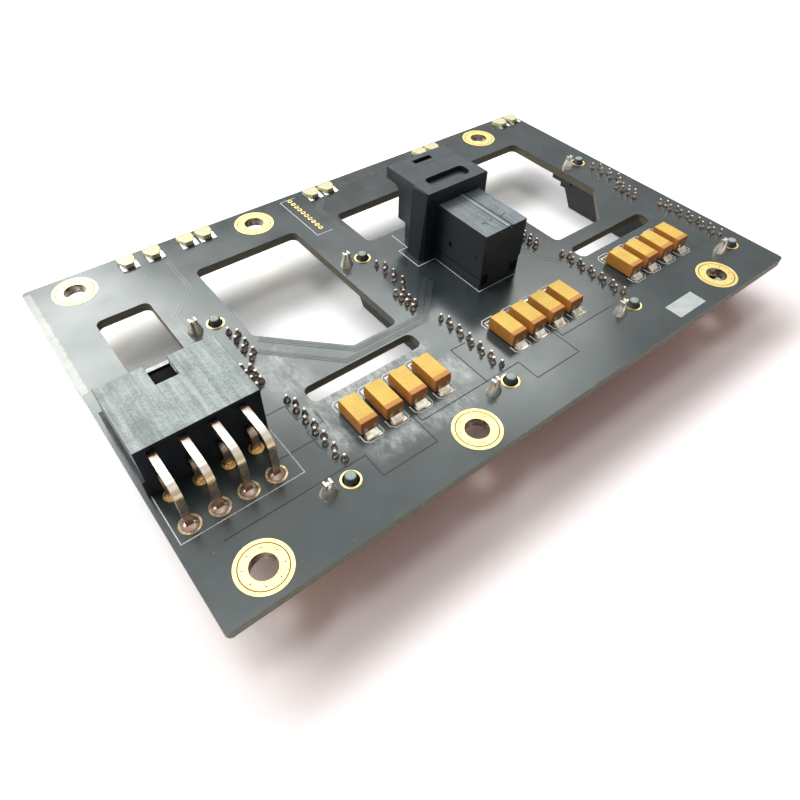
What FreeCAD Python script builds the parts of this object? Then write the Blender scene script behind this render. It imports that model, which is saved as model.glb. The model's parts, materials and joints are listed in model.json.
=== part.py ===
import FreeCAD, Part
import os
from FreeCAD import Vector

# A backplane board for four drives, in millimetres. X runs along the long front edge,
# Y from the front edge to the back edge with the lights, Z up. The origin is under the
# middle of the board, at the faces of the four drive sockets that the part rests on.

# Places of the drive sockets under the board, which set the board's size
drive_count = 4
drive_pitch = 30.1
first_drive_from_left = 23.2
last_drive_to_right = 4.5
front_peg_from_front = 8.6
peg_spacing = 39.0
back_peg_to_back = 26.4

# Board
board_thickness = 1.6
board_corner = 0.8
window_corner = 1.2

# Mounting holes
mount_hole_radius = 1.9
mount_inset = 4.7
first_mount_from_left = 7.6
mount_before_drive = 10.6

# Windows and slots, placed from the drive sockets beside them
socket_side_land = 3.4
lock_side_land = 5.8
window_front_from_front = 29.5
window_length = 32.8
window_chamfer = 11.8
last_window_chamfer = 8.2
slot_front_from_front = 22.9
slot_width = 3.5
port_window_front_from_front = 50.9
port_window_side_land = 4.0
small_window_width = 9.2
small_window_length = 21.9
small_window_gap = 2.1
small_window_from_left = 7.3

# Drive socket housing
socket_height = 8.9
nose_height = 4.8
nose_left = -1.0
nose_right = 3.4
nose_past_peg = 1.2
nose_lead_length = 2.4
nose_lead_height = 4.0
base_left = -2.3
base_right = 3.8
base_past_peg = 1.7
flange_thickness = 1.6
flange_past_peg = 2.6
tab_reach = 2.4
tab_length = 5.2
mating_slot_left = 0.65
mating_slot_right = 2.0
mating_slot_margin = 2.0
key_reach = 1.0
key_width = 1.0
peg_radius = 0.95
peg_clearance = 0.3
peg_stand = 1.15
peg_chamfer = 0.35

# Drive socket contacts
contact_pitch = 1.27
power_positions = 15
power_fitted = 12
signal_count = 7
power_signal_gap = 6.8
first_contact_from_peg = 3.2
power_near_column = 0.5
power_far_column = 1.2
signal_near_column = 0.55
signal_far_column = 1.6
post_width = 0.38
post_stand = 1.3
beam_thickness = 0.3
beam_bottom = 1.0
arm_height = 6.6
arm_thickness = 0.4
chamber_clearance = 0.05
second_port_count = 7
second_port_pitch = 0.8
second_port_near_column = -0.6
second_port_far_column = -1.7

# Board locks of the drive sockets
lock_before_peg = 3.55
lock_span = 1.2
lock_sheet = 0.3
lock_width = 0.9
lock_stand = 2.6
lock_heel = 0.3

# Power header
header_from_left = 1.1
header_width = 17.5
header_from_front = 22.2
header_length = 13.2
header_height = 9.1
header_rows = 2
header_columns = 4
header_pitch = 4.2
lower_row_height = 3.0
cavity_size = 3.1
cavity_corner = 0.8
header_back_wall = 2.4
header_row_offset = -0.4
blade_width = 1.07
blade_thickness = 0.9
blade_in_cavity = 6.2
blade_above_middle = 0.5
upper_blade_reach = 6.8
lower_blade_reach = 1.3
upper_bend_radius = 1.3
lower_bend_radius = 0.4
blade_below_board = 0.9
notch_width = 3.4
notch_length = 4.2
notch_from_left = 7.0
catch_width = 0.8
catch_drop = 0.8
catch_height = 0.9
rail_width = 0.5
rail_height = 3.2
rail_overhang = 1.6

# Data port
port_from_second_drive = 15.55
port_back_from_front = 27.8
cover_length = 12.2
cover_left_reach = 4.4
cover_right_reach = 5.2
cover_height = 10.85
cover_wall = 0.9
cover_roof = 1.2
cover_step_height = 3.4
cover_step_width = 0.35
groove_width = 0.35
groove_depth = 0.5
groove_offset = 1.45
ridge_width = 0.9
ridge_height = 0.15
pillar_width = 15.4
pillar_top_width = 14.1
pillar_length = 4.0
pillar_height = 13.2
pillar_chamfer = 0.7
shroud_width = 13.5
shroud_height = 13.55
shroud_length = 8.2
shroud_floor_height = 4.9
throat_width = 10.0
throat_wall = 0.9
hood_reach = 3.6
hood_thickness = 2.2
hood_curve = 1.5
mouth_width = 11.2
mouth_floor = 1.0
mouth_top = 10.9
mouth_depth = 4.4
latch_window_width = 8.8
latch_window_length = 3.0
latch_window_from_back = 1.4
latch_window_corner = 0.9
release_slot_width = 4.0
release_slot_length = 1.2
release_slot_from_front = 1.2
card_slot_width = 7.4
card_slot_height = 2.0
lower_card_height = 3.6
card_spacing = 4.4
port_peg_radius = 0.8
port_peg_offset = 6.6
port_peg_below_board = 0.5

# Wafers and contacts inside the data port
wafer_count = 9
wafer_pitch = 0.75
wafer_thickness = 0.62
wafer_gap = 0.3
wafer_corner = 3.0
port_beam_length = 3.6
port_beam_width = 0.35
port_beam_thickness = 0.25
port_beam_offset = 0.65
port_tail_width = 0.35
port_tail_pitch = 2.4
port_tail_rows = 4
first_tail_from_back = 1.2
port_tail_below_board = 0.5

# Capacitors, in one array behind each of three drive sockets
array_count = 3
array_size = 4
array_from_drive = 6.9
capacitor_pitch = 4.55
capacitor_from_front = 16.5
capacitor_width = 3.2
capacitor_length = 5.9
capacitor_height = 2.6
capacitor_stand = 0.15
capacitor_draft = 0.12
strip_width = 2.2
strip_thickness = 0.12
strip_height = 1.35
strip_notch_width = 1.1
strip_notch_depth = 0.7
strip_foot = 1.2

# Edge lights, in pairs
first_pair_from_left = 20.35
second_pair_from_left = 31.3
third_pair_from_left = 59.35
fourth_pair_from_left = 88.5
fifth_pair_from_left = 113.8
first_pair_spacing = 4.9
pair_spacing = 3.7
light_width = 3.1
light_length = 2.7
light_neck_width = 1.5
light_neck_length = 1.4
light_height = 0.9
light_from_back = 1.4
light_terminal_length = 2.0
light_terminal_width = 0.75
light_terminal_height = 0.45
light_terminal_toe = 0.2

# Smallest slant that counts as not upright
level_tolerance = 0.001

# Places worked out from the sizes above
board_length = first_drive_from_left + (drive_count - 1) * drive_pitch + last_drive_to_right
board_width = front_peg_from_front + peg_spacing + back_peg_to_back
board_left = -board_length / 2
board_right = board_length / 2
board_front = -board_width / 2
board_back = board_width / 2
board_bottom = socket_height
board_top = board_bottom + board_thickness
drive_lines = [board_left + first_drive_from_left + i * drive_pitch for i in range(drive_count)]
front_peg = board_front + front_peg_from_front
back_peg = front_peg + peg_spacing
header_left = board_left + header_from_left
header_right = header_left + header_width
header_front = board_front + header_from_front
header_mouth = header_front + header_length
port_middle = drive_lines[1] + port_from_second_drive
port_back = board_front + port_back_from_front
shroud_back = port_back + cover_length
shroud_mouth = shroud_back + shroud_length
upper_card_height = lower_card_height + card_spacing


def box(x0, x1, y0, y1, z0, z1):
    """A block between two corners."""
    return Part.makeBox(x1 - x0, y1 - y0, z1 - z0, Vector(x0, y0, z0))


def plan_prism(points, z0, z1):
    """A plan outline raised from z0 to z1."""
    corners = [Vector(x, y, z0) for x, y in points]
    outline = Part.makePolygon(corners + corners[:1])
    return Part.Face(outline).extrude(Vector(0, 0, z1 - z0))


def across_prism(points, y0, y1):
    """An outline in the XZ plane drawn out from y0 to y1."""
    corners = [Vector(x, y0, z) for x, z in points]
    outline = Part.makePolygon(corners + corners[:1])
    return Part.Face(outline).extrude(Vector(0, y1 - y0, 0))


def side_prism(points, x0, x1):
    """An outline in the YZ plane drawn out from x0 to x1."""
    corners = [Vector(x0, y, z) for y, z in points]
    outline = Part.makePolygon(corners + corners[:1])
    return Part.Face(outline).extrude(Vector(x1 - x0, 0, 0))


def round_uprights(solid, radius):
    """Round every upright edge of a prism."""
    uprights = []
    for edge in solid.Edges:
        rise = edge.Vertexes[0].Point - edge.Vertexes[-1].Point
        if abs(rise.x) + abs(rise.y) < level_tolerance < abs(rise.z):
            uprights.append(edge)
    return solid.makeFillet(radius, uprights)


def rounded_box(x0, x1, y0, y1, z0, z1, radius):
    """A block with rounded upright edges."""
    return round_uprights(box(x0, x1, y0, y1, z0, z1), radius)


def rod(x, y, z0, z1, radius):
    """An upright round rod."""
    return Part.makeCylinder(radius, z1 - z0, Vector(x, y, z0))


def turned(profile, x, y):
    """A ring or peg turned about an upright line from a profile of radii and heights."""
    corners = [Vector(x + r, y, z) for r, z in profile]
    outline = Part.makePolygon(corners + corners[:1])
    return Part.Face(outline).revolve(Vector(x, y, 0), Vector(0, 0, 1), 360)


def join(solids):
    """One moulding from parts that touch."""
    whole = solids[0].fuse(solids[1:])
    return whole.removeSplitter()


def moved(solid, x, y, z=0.0):
    """A copy of a solid in another place."""
    copy = solid.copy()
    copy.translate(Vector(x, y, z))
    return copy


def tail_column(index, first, second):
    """Tails stand alternately in two columns."""
    return first if index % 2 == 0 else second


def power_tails():
    """Places of the fitted power contacts of one drive socket, as x and y from its front peg."""
    places = []
    for i in range(power_fitted):
        places.append((tail_column(i, power_far_column, power_near_column),
                       first_contact_from_peg + i * contact_pitch))
    return places


def signal_tails():
    """Places of the signal contacts, which follow the last power position after a gap."""
    first = first_contact_from_peg + (power_positions - 1) * contact_pitch + power_signal_gap
    places = []
    for i in range(signal_count):
        places.append((tail_column(i, signal_near_column, signal_far_column),
                       first + i * contact_pitch))
    return places


def second_port_tails():
    """Places of the close-set contacts of the second port, in the middle of the gap."""
    last_power = first_contact_from_peg + (power_positions - 1) * contact_pitch
    middle = last_power + power_signal_gap / 2
    first = middle - (second_port_count - 1) * second_port_pitch / 2
    places = []
    for i in range(second_port_count):
        places.append((tail_column(i, second_port_far_column, second_port_near_column),
                       first + i * second_port_pitch))
    return places


def bent_contact(tail_x, beam_left, y):
    """A contact of one drive socket: a post through the board, an arm and a beam in the slot."""
    half = post_width / 2
    arm_top = arm_height + arm_thickness
    beam_right = beam_left + beam_thickness
    top = board_top + post_stand
    outline = [
        (tail_x - half, top),
        (tail_x + half, top),
        (tail_x + half, arm_top),
        (beam_right, arm_top),
        (beam_right, beam_bottom),
        (beam_left, beam_bottom),
        (beam_left, arm_height),
        (tail_x - half, arm_height),
    ]
    return across_prism(outline, y - half, y + half)


def socket_power_contacts():
    """The power contacts of one drive socket."""
    beam_left = mating_slot_right - beam_thickness
    return [bent_contact(x, beam_left, y) for x, y in power_tails()]


def socket_signal_contacts():
    """The signal and second-port contacts of one drive socket, on opposite walls of its slot."""
    far_beam = mating_slot_right - beam_thickness
    contacts = [bent_contact(x, far_beam, y) for x, y in signal_tails()]
    contacts += [bent_contact(x, mating_slot_left, y) for x, y in second_port_tails()]
    return contacts


def contact_chamber(tails):
    """The open chamber over the slot in which the arms of one group of contacts lie."""
    half = post_width / 2
    reach = half + chamber_clearance
    left = min(x for x, y in tails) - half
    return box(left, mating_slot_right, tails[0][1] - reach, tails[-1][1] + reach,
               arm_height, socket_height)


def socket_lock(y):
    """A folded board lock with two prongs that stand through the tab and the board."""
    outer = lock_span / 2
    inner = outer - lock_sheet
    heel = socket_height - flange_thickness - lock_heel
    top = board_top + lock_stand
    outline = [
        (-outer, heel),
        (outer, heel),
        (outer, top),
        (inner, top),
        (inner, heel + lock_sheet),
        (-inner, heel + lock_sheet),
        (-inner, top),
        (-outer, top),
    ]
    outline = [(x - lock_before_peg, z) for x, z in outline]
    return across_prism(outline, y - lock_width / 2, y + lock_width / 2)


def lock_cut(y, z0, z1):
    """The opening that a board lock fills."""
    reach = lock_span / 2
    return box(-lock_before_peg - reach, -lock_before_peg + reach,
               y - lock_width / 2, y + lock_width / 2, z0, z1)


def mating_slot():
    """The slot that takes a drive's tongue, with a key at each end."""
    front = first_contact_from_peg - mating_slot_margin
    back = signal_tails()[-1][1] + mating_slot_margin
    key_left = mating_slot_left - key_reach
    outline = [
        (key_left, front),
        (mating_slot_right, front),
        (mating_slot_right, back),
        (key_left, back),
        (key_left, back - key_width),
        (mating_slot_left, back - key_width),
        (mating_slot_left, front + key_width),
        (key_left, front + key_width),
    ]
    return plan_prism(outline, 0, arm_height)


def socket_nose():
    """The nose of the moulding, with slanted ends that lead it into a drive."""
    front = -nose_past_peg
    back = peg_spacing + nose_past_peg
    outline = [
        (front + nose_lead_length, 0),
        (back - nose_lead_length, 0),
        (back, nose_lead_height),
        (back, nose_height),
        (front, nose_height),
        (front, nose_lead_height),
    ]
    return side_prism(outline, nose_left, nose_right)


def socket_peg(y):
    """A locating peg with a chamfered top that stands through the board."""
    top = board_top + peg_stand
    profile = [
        (0, socket_height),
        (peg_radius, socket_height),
        (peg_radius, top - peg_chamfer),
        (peg_radius - peg_chamfer, top),
        (0, top),
    ]
    return turned(profile, 0, y)


def socket_housing():
    """The moulding of one drive socket, from its front peg, with its slot and chambers cut."""
    underside = socket_height - flange_thickness
    base = box(base_left, base_right, -base_past_peg, peg_spacing + base_past_peg,
               nose_height, socket_height)
    flange = box(base_left, base_right, -flange_past_peg, peg_spacing + flange_past_peg,
                 underside, socket_height)
    parts = [socket_nose(), base, flange]
    tab_left = base_left - tab_reach
    for front in (-flange_past_peg, peg_spacing + flange_past_peg - tab_length):
        parts.append(box(tab_left, base_left, front, front + tab_length, underside, socket_height))
    for y in (0, peg_spacing):
        parts.append(socket_peg(y))
    body = join(parts)
    cuts = [mating_slot()]
    for y in (0, peg_spacing):
        cuts.append(lock_cut(y, underside, socket_height))
    for tails in (power_tails(), signal_tails(), second_port_tails()):
        cuts.append(contact_chamber(tails))
    return body.cut(cuts)


def post_holes():
    """Square drillings for all posts of the drive sockets."""
    half = post_width / 2
    holes = []
    for line in drive_lines:
        for x, y in power_tails() + signal_tails() + second_port_tails():
            holes.append(box(line + x - half, line + x + half,
                             front_peg + y - half, front_peg + y + half, board_bottom, board_top))
    return holes


def peg_and_lock_holes():
    """Drillings for the pegs and slots for the board locks of the drive sockets."""
    holes = []
    for line in drive_lines:
        for y in (0, peg_spacing):
            holes.append(rod(line, front_peg + y, board_bottom, board_top,
                             peg_radius + peg_clearance))
            holes.append(moved(lock_cut(y, board_bottom, board_top), line, front_peg))
    return holes


def mount_places():
    """Centres of the six mounting holes, in a front and a back row."""
    columns = [
        board_left + first_mount_from_left,
        drive_lines[1] - mount_before_drive,
        drive_lines[-1] - mount_before_drive,
    ]
    rows = [board_front + mount_inset, board_back - mount_inset]
    return [(x, y) for y in rows for x in columns]


def windows():
    """The four windows and two slots of the board."""
    left_of = [line - lock_side_land for line in drive_lines]
    right_of = [line + socket_side_land for line in drive_lines]
    front = board_front + window_front_from_front
    back = front + window_length
    chamfered = plan_prism([
        (right_of[0] + window_chamfer, front),
        (left_of[1], front),
        (left_of[1], back),
        (right_of[0], back),
        (right_of[0], front + window_chamfer),
    ], board_bottom, board_top)
    cuts = [round_uprights(chamfered, window_corner)]
    last_window = plan_prism([
        (right_of[2], front),
        (left_of[3] - last_window_chamfer, front),
        (left_of[3], front + last_window_chamfer),
        (left_of[3], back),
        (right_of[2], back),
    ], board_bottom, board_top)
    cuts.append(round_uprights(last_window, window_corner))
    cuts.append(rounded_box(drive_lines[1] + port_window_side_land, left_of[2],
                            board_front + port_window_front_from_front, back,
                            board_bottom, board_top, window_corner))
    small_left = board_left + small_window_from_left
    small_front = header_mouth + small_window_gap
    cuts.append(rounded_box(small_left, small_left + small_window_width,
                            small_front, small_front + small_window_length,
                            board_bottom, board_top, window_corner))
    slot_front = board_front + slot_front_from_front
    for i in (0, 2):
        cuts.append(rounded_box(right_of[i], left_of[i + 1], slot_front, slot_front + slot_width,
                                board_bottom, board_top, window_corner))
    return cuts


def blade_columns():
    """Places across the power header of its four columns of blades."""
    middle = (header_left + header_right) / 2 + header_row_offset
    first = middle - (header_columns - 1) * header_pitch / 2
    return [first + i * header_pitch for i in range(header_columns)]


def blade_rows():
    """Height above the board, reach behind the housing and bend radius of each row of blades."""
    lower = (lower_row_height, lower_blade_reach, lower_bend_radius)
    upper = (lower_row_height + header_pitch, upper_blade_reach, upper_bend_radius)
    return [lower, upper]


def blade(x, height, reach, radius):
    """A blade that leaves the housing level, bends once and stands through the board."""
    half = blade_thickness / 2
    level = board_top + height + blade_above_middle
    upright = header_front - reach
    tip = header_front + header_back_wall + blade_in_cavity
    foot = board_bottom - blade_below_board
    left = x - blade_width / 2
    bend_y = upright + half + radius
    bend_z = level - half - radius
    slope = 0.5 ** 0.5

    def point(y, z):
        """A point of the outline, in the plane of the blade's left side."""
        return Vector(left, y, z)

    def bend(r):
        """The quarter circle of the bend, from its upright end to its level end."""
        middle = point(bend_y - r * slope, bend_z + r * slope)
        return Part.Arc(point(bend_y - r, bend_z), middle, point(bend_y, bend_z + r)).toShape()

    outer = radius + blade_thickness
    outline = Part.Wire([
        Part.makeLine(point(tip, level + half), point(bend_y, level + half)),
        bend(outer),
        Part.makeLine(point(upright - half, bend_z), point(upright - half, foot)),
        Part.makeLine(point(upright - half, foot), point(upright + half, foot)),
        Part.makeLine(point(upright + half, foot), point(upright + half, bend_z)),
        bend(radius),
        Part.makeLine(point(bend_y, level - half), point(tip, level - half)),
        Part.makeLine(point(tip, level - half), point(tip, level + half)),
    ])
    return Part.Face(outline).extrude(Vector(blade_width, 0, 0))


def blades(row):
    """The four blades of one row."""
    height, reach, radius = blade_rows()[row]
    return [blade(x, height, reach, radius) for x in blade_columns()]


def blade_holes():
    """Drillings that the blades fill."""
    holes = []
    for height, reach, radius in blade_rows():
        upright = header_front - reach
        for x in blade_columns():
            holes.append(box(x - blade_width / 2, x + blade_width / 2,
                             upright - blade_thickness / 2, upright + blade_thickness / 2,
                             board_bottom, board_top))
    return holes


def cavity(x, height, keyed):
    """A cavity of the power header, with its lower corners cut where it is keyed."""
    half = cavity_size / 2
    middle = board_top + height
    corner = cavity_corner if keyed else cavity_corner / 4
    outline = [
        (x - half, middle + half),
        (x + half, middle + half),
        (x + half, middle - half + corner),
        (x + half - corner, middle - half),
        (x - half + corner, middle - half),
        (x - half, middle - half + corner),
    ]
    return across_prism(outline, header_front + header_back_wall, header_mouth)


def power_header_housing():
    """The moulding of the power header, with its mouth to the back."""
    top = board_top + header_height
    notch_left = header_left + notch_from_left
    notch_right = notch_left + notch_width
    roof = board_top + lower_row_height + header_pitch + cavity_size / 2
    shell = box(header_left, header_right, header_front, header_mouth, board_top, top)
    rail = box(header_left - rail_width, header_left, header_front, header_mouth + rail_overhang,
               board_top, board_top + rail_height)
    rail_foot = box(header_left, header_left + rail_width, header_mouth,
                    header_mouth + rail_overhang, board_top, board_top + rail_height)
    body = join([shell, rail, rail_foot])
    cuts = [box(notch_left, notch_right, header_mouth - notch_length, header_mouth,
                roof - catch_drop, top)]
    for row, (height, reach, radius) in enumerate(blade_rows()):
        for column, x in enumerate(blade_columns()):
            cuts.append(cavity(x, height, (row + column) % 2 == 0))
    catch_top = top - catch_drop
    catch = across_prism([
        (notch_left, catch_top),
        (notch_right, catch_top),
        (notch_right, catch_top - catch_height),
        (notch_left, catch_top - catch_height),
    ], header_mouth - catch_width, header_mouth)
    return body.cut(cuts).fuse([catch]).cut(blades(0) + blades(1)).removeSplitter()


def port_tail_places():
    """Places of the press-fit tails under the wafers of the data port."""
    places = []
    for wafer in range(wafer_count):
        x = port_middle + (wafer - (wafer_count - 1) / 2) * wafer_pitch
        for row in range(port_tail_rows):
            y = port_back + cover_wall + wafer_gap + first_tail_from_back + row * port_tail_pitch
            places.append((x, y))
    return places


def port_tails(z0, z1):
    """Square tails, or the drillings that they fill."""
    half = port_tail_width / 2
    return [box(x - half, x + half, y - half, y + half, z0, z1) for x, y in port_tail_places()]


def port_peg_places():
    """The two pegs of the data port, under the pillars."""
    y = shroud_back + pillar_length / 2
    return [(port_middle - port_peg_offset, y), (port_middle + port_peg_offset, y)]


def data_port_wafers():
    """Nine moulded wafers side by side, each with a cut upper back corner."""
    back = port_back + cover_wall + wafer_gap
    top = board_top + cover_height - cover_roof - wafer_gap
    outline = [
        (back, board_top),
        (shroud_back, board_top),
        (shroud_back, top),
        (back + wafer_corner, top),
        (back, top - wafer_corner),
    ]
    wafers = []
    for i in range(wafer_count):
        x = port_middle + (i - (wafer_count - 1) / 2) * wafer_pitch
        wafers.append(side_prism(outline, x - wafer_thickness / 2, x + wafer_thickness / 2))
    return wafers


def data_port_contacts():
    """Beams in the two card slots, and press-fit tails under the wafers."""
    half_width = port_beam_width / 2
    half_thickness = port_beam_thickness / 2
    contacts = []
    for i in range(wafer_count):
        x = port_middle + (i - (wafer_count - 1) / 2) * wafer_pitch
        for card in (lower_card_height, upper_card_height):
            for side in (-1, 1):
                z = board_top + card + side * port_beam_offset
                contacts.append(box(x - half_width, x + half_width,
                                    shroud_back, shroud_back + port_beam_length,
                                    z - half_thickness, z + half_thickness))
    return contacts + port_tails(board_bottom - port_tail_below_board, board_top)


def data_port_cover():
    """The rear cover of the data port, open below and in front round the wafers."""
    left = port_middle - cover_left_reach
    right = port_middle + cover_right_reach
    top = board_top + cover_height
    shell = box(left, right, port_back, shroud_back, board_top, top)
    groove_left = port_middle + groove_offset
    ridge = box(groove_left - ridge_width, groove_left, port_back, shroud_back,
                top, top + ridge_height)
    body = join([shell, ridge])
    groove = box(groove_left, groove_left + groove_width, port_back, shroud_back,
                 top - groove_depth, top + ridge_height)
    hollow = box(left + cover_wall, right - cover_wall, port_back + cover_wall, shroud_back,
                 board_top, top - cover_roof)
    step = box(right - cover_step_width, right, port_back, shroud_back,
               board_top, board_top + cover_step_height)
    return body.cut([groove, hollow, step])


def hood_profile():
    """Side outline of the shroud from the pillar to the mouth, with the hood's curved underside."""
    top = board_top + shroud_height
    under_hood = top - hood_thickness
    tip = shroud_mouth + hood_reach
    floor = board_top + shroud_floor_height
    knee = under_hood - hood_curve
    slope = 0.5 ** 0.5

    def point(y, z):
        """A point of the outline, in the plane of the shroud's left side."""
        return Vector(port_middle - shroud_width / 2, y, z)

    sweep = Part.Arc(
        point(shroud_mouth, knee),
        point(shroud_mouth + hood_curve - hood_curve * slope, under_hood - hood_curve + hood_curve * slope),
        point(shroud_mouth + hood_curve, under_hood),
    ).toShape()
    return Part.Wire([
        Part.makeLine(point(shroud_back, top), point(tip, top)),
        Part.makeLine(point(tip, top), point(tip, under_hood)),
        Part.makeLine(point(tip, under_hood), point(shroud_mouth + hood_curve, under_hood)),
        sweep,
        Part.makeLine(point(shroud_mouth, knee), point(shroud_mouth, floor)),
        Part.makeLine(point(shroud_mouth, floor), point(shroud_back, floor)),
        Part.makeLine(point(shroud_back, floor), point(shroud_back, top)),
    ])


def data_port_shroud():
    """The front moulding of the data port: pillars, mouth and the hood that takes the latch."""
    left = port_middle - shroud_width / 2
    right = port_middle + shroud_width / 2
    pillar_left = port_middle - pillar_width / 2
    pillar_right = port_middle + pillar_width / 2
    top = board_top + shroud_height
    upper = Part.Face(hood_profile()).extrude(Vector(shroud_width, 0, 0))
    pillar_top = board_top + pillar_height
    pillars = across_prism([
        (pillar_left, board_top),
        (pillar_right, board_top),
        (port_middle + pillar_top_width / 2, pillar_top),
        (right, top),
        (left, top),
        (port_middle - pillar_top_width / 2, pillar_top),
    ], shroud_back, shroud_back + pillar_length)
    corner_cuts = []
    for x, way in ((pillar_left, 1), (pillar_right, -1)):
        corner_cuts.append(plan_prism([
            (x, shroud_back),
            (x + way * pillar_chamfer, shroud_back),
            (x, shroud_back + pillar_chamfer),
        ], board_top, top))
    throat = box(port_middle - throat_width / 2, port_middle + throat_width / 2,
                 shroud_back, shroud_mouth, board_top, board_top + shroud_floor_height)
    pegs = [rod(x, y, board_bottom - port_peg_below_board, board_top, port_peg_radius)
            for x, y in port_peg_places()]
    body = join([upper, pillars, throat] + pegs)
    wide = mouth_width / 2
    narrow = throat_width / 2 - throat_wall
    ledge = board_top + shroud_floor_height + mouth_floor
    mouth = across_prism([
        (port_middle - wide, board_top + mouth_top),
        (port_middle + wide, board_top + mouth_top),
        (port_middle + wide, ledge),
        (port_middle + narrow, ledge),
        (port_middle + narrow, board_top + mouth_floor),
        (port_middle - narrow, board_top + mouth_floor),
        (port_middle - narrow, ledge),
        (port_middle - wide, ledge),
    ], shroud_mouth - mouth_depth, shroud_mouth + hood_curve)
    cuts = [mouth] + corner_cuts
    for card in (lower_card_height, upper_card_height):
        cuts.append(box(port_middle - card_slot_width / 2, port_middle + card_slot_width / 2,
                        shroud_back, shroud_mouth - mouth_depth,
                        board_top + card - card_slot_height / 2,
                        board_top + card + card_slot_height / 2))
    latch_back = shroud_back + latch_window_from_back
    cuts.append(rounded_box(port_middle - latch_window_width / 2,
                            port_middle + latch_window_width / 2,
                            latch_back, latch_back + latch_window_length,
                            board_top + mouth_top, top, latch_window_corner))
    release_front = shroud_mouth + hood_reach - release_slot_from_front
    cuts.append(box(port_middle - release_slot_width / 2, port_middle + release_slot_width / 2,
                    release_front - release_slot_length, release_front,
                    top - hood_thickness, top))
    return body.cut(cuts)


def capacitor_places(array):
    """Centres of the four capacitors of one array."""
    first = drive_lines[array] + array_from_drive
    y = board_front + capacitor_from_front
    return [(first + i * capacitor_pitch, y) for i in range(array_size)]


def capacitor_section(x, y, z, shrink):
    """A level section of a capacitor body."""
    half_x = capacitor_width / 2 - shrink
    half_y = capacitor_length / 2 - shrink
    corners = [
        Vector(x - half_x, y - half_y, z),
        Vector(x + half_x, y - half_y, z),
        Vector(x + half_x, y + half_y, z),
        Vector(x - half_x, y + half_y, z),
    ]
    return Part.makePolygon(corners + corners[:1])


def capacitor_body(x, y):
    """A moulded body that tapers up and down from its parting line."""
    bottom = board_top + capacitor_stand
    top = board_top + capacitor_height
    parting = (bottom + top) / 2
    lower = Part.makeLoft([capacitor_section(x, y, bottom, capacitor_draft),
                           capacitor_section(x, y, parting, 0)], True)
    upper = Part.makeLoft([capacitor_section(x, y, parting, 0),
                           capacitor_section(x, y, top, capacitor_draft)], True)
    return join([lower, upper])


def capacitor_strips(x, y):
    """The two forked terminal strips of a capacitor, folded under its ends."""
    strips = []
    half = strip_width / 2
    notch = strip_notch_width / 2
    top = board_top + strip_height
    notch_floor = top - strip_notch_depth
    for way in (-1, 1):
        face = y + way * capacitor_length / 2
        outline = [
            (x - half, board_top),
            (x + half, board_top),
            (x + half, top),
            (x + notch, top),
            (x + notch, notch_floor),
            (x - notch, notch_floor),
            (x - notch, top),
            (x - half, top),
        ]
        plate = across_prism(outline, face, face + way * strip_thickness)
        inner = face - way * strip_foot
        foot = box(x - half, x + half, min(inner, face), max(inner, face),
                   board_top, board_top + strip_thickness)
        strips.append(join([plate, foot]))
    return strips


def capacitor_terminals(array):
    """All terminal strips of one array."""
    strips = []
    for x, y in capacitor_places(array):
        strips += capacitor_strips(x, y)
    return strips


def light_places():
    """Middles of the ten edge lights, in pairs along the back edge."""
    places = []
    pairs = (first_pair_from_left, second_pair_from_left, third_pair_from_left,
             fourth_pair_from_left, fifth_pair_from_left)
    for pair, middle in enumerate(pairs):
        spacing = first_pair_spacing if pair == 0 else pair_spacing
        places.append(board_left + middle - spacing / 2)
        places.append(board_left + middle + spacing / 2)
    return places


def edge_light(x):
    """A side-facing light: a narrow neck that widens to the lens at the board's edge."""
    front = board_back - light_from_back
    back = front - light_length
    waist = back + light_neck_length
    half = light_width / 2
    neck = light_neck_width / 2
    outline = [
        (x - neck, back),
        (x + neck, back),
        (x + half, waist),
        (x + half, front),
        (x - half, front),
        (x - half, waist),
    ]
    return plan_prism(outline, board_top, board_top + light_height)


def light_terminals():
    """Two sloping solder terminals on each edge light, beside its neck."""
    waist = board_back - light_from_back - light_length + light_neck_length
    toe = waist - light_terminal_length
    outline = [
        (toe, board_top),
        (waist, board_top),
        (waist, board_top + light_terminal_height),
        (toe, board_top + light_terminal_toe),
    ]
    terminals = []
    for x in light_places():
        edge = x + light_width / 2
        terminals.append(side_prism(outline, edge - light_terminal_width, edge))
        edge = x - light_width / 2
        terminals.append(side_prism(outline, edge, edge + light_terminal_width))
    neck_cut = [edge_light(x) for x in light_places()]
    return [terminal.cut(neck_cut) for terminal in terminals]


def board():
    """The laminate with rounded corners, windows and every drilling."""
    plate = rounded_box(board_left, board_right, board_front, board_back,
                        board_bottom, board_top, board_corner)
    cuts = windows() + post_holes() + peg_and_lock_holes() + blade_holes()
    cuts += [rod(x, y, board_bottom, board_top, mount_hole_radius) for x, y in mount_places()]
    cuts += [rod(x, y, board_bottom, board_top, port_peg_radius) for x, y in port_peg_places()]
    cuts += port_tails(board_bottom, board_top)
    return plate.cut(cuts)


def save(name, solids):
    """Write the solids of one node to its own file."""
    shape = solids[0] if len(solids) == 1 else Part.makeCompound(solids)
    shape.exportStep(os.path.join("parts", name + ".step"))


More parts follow.
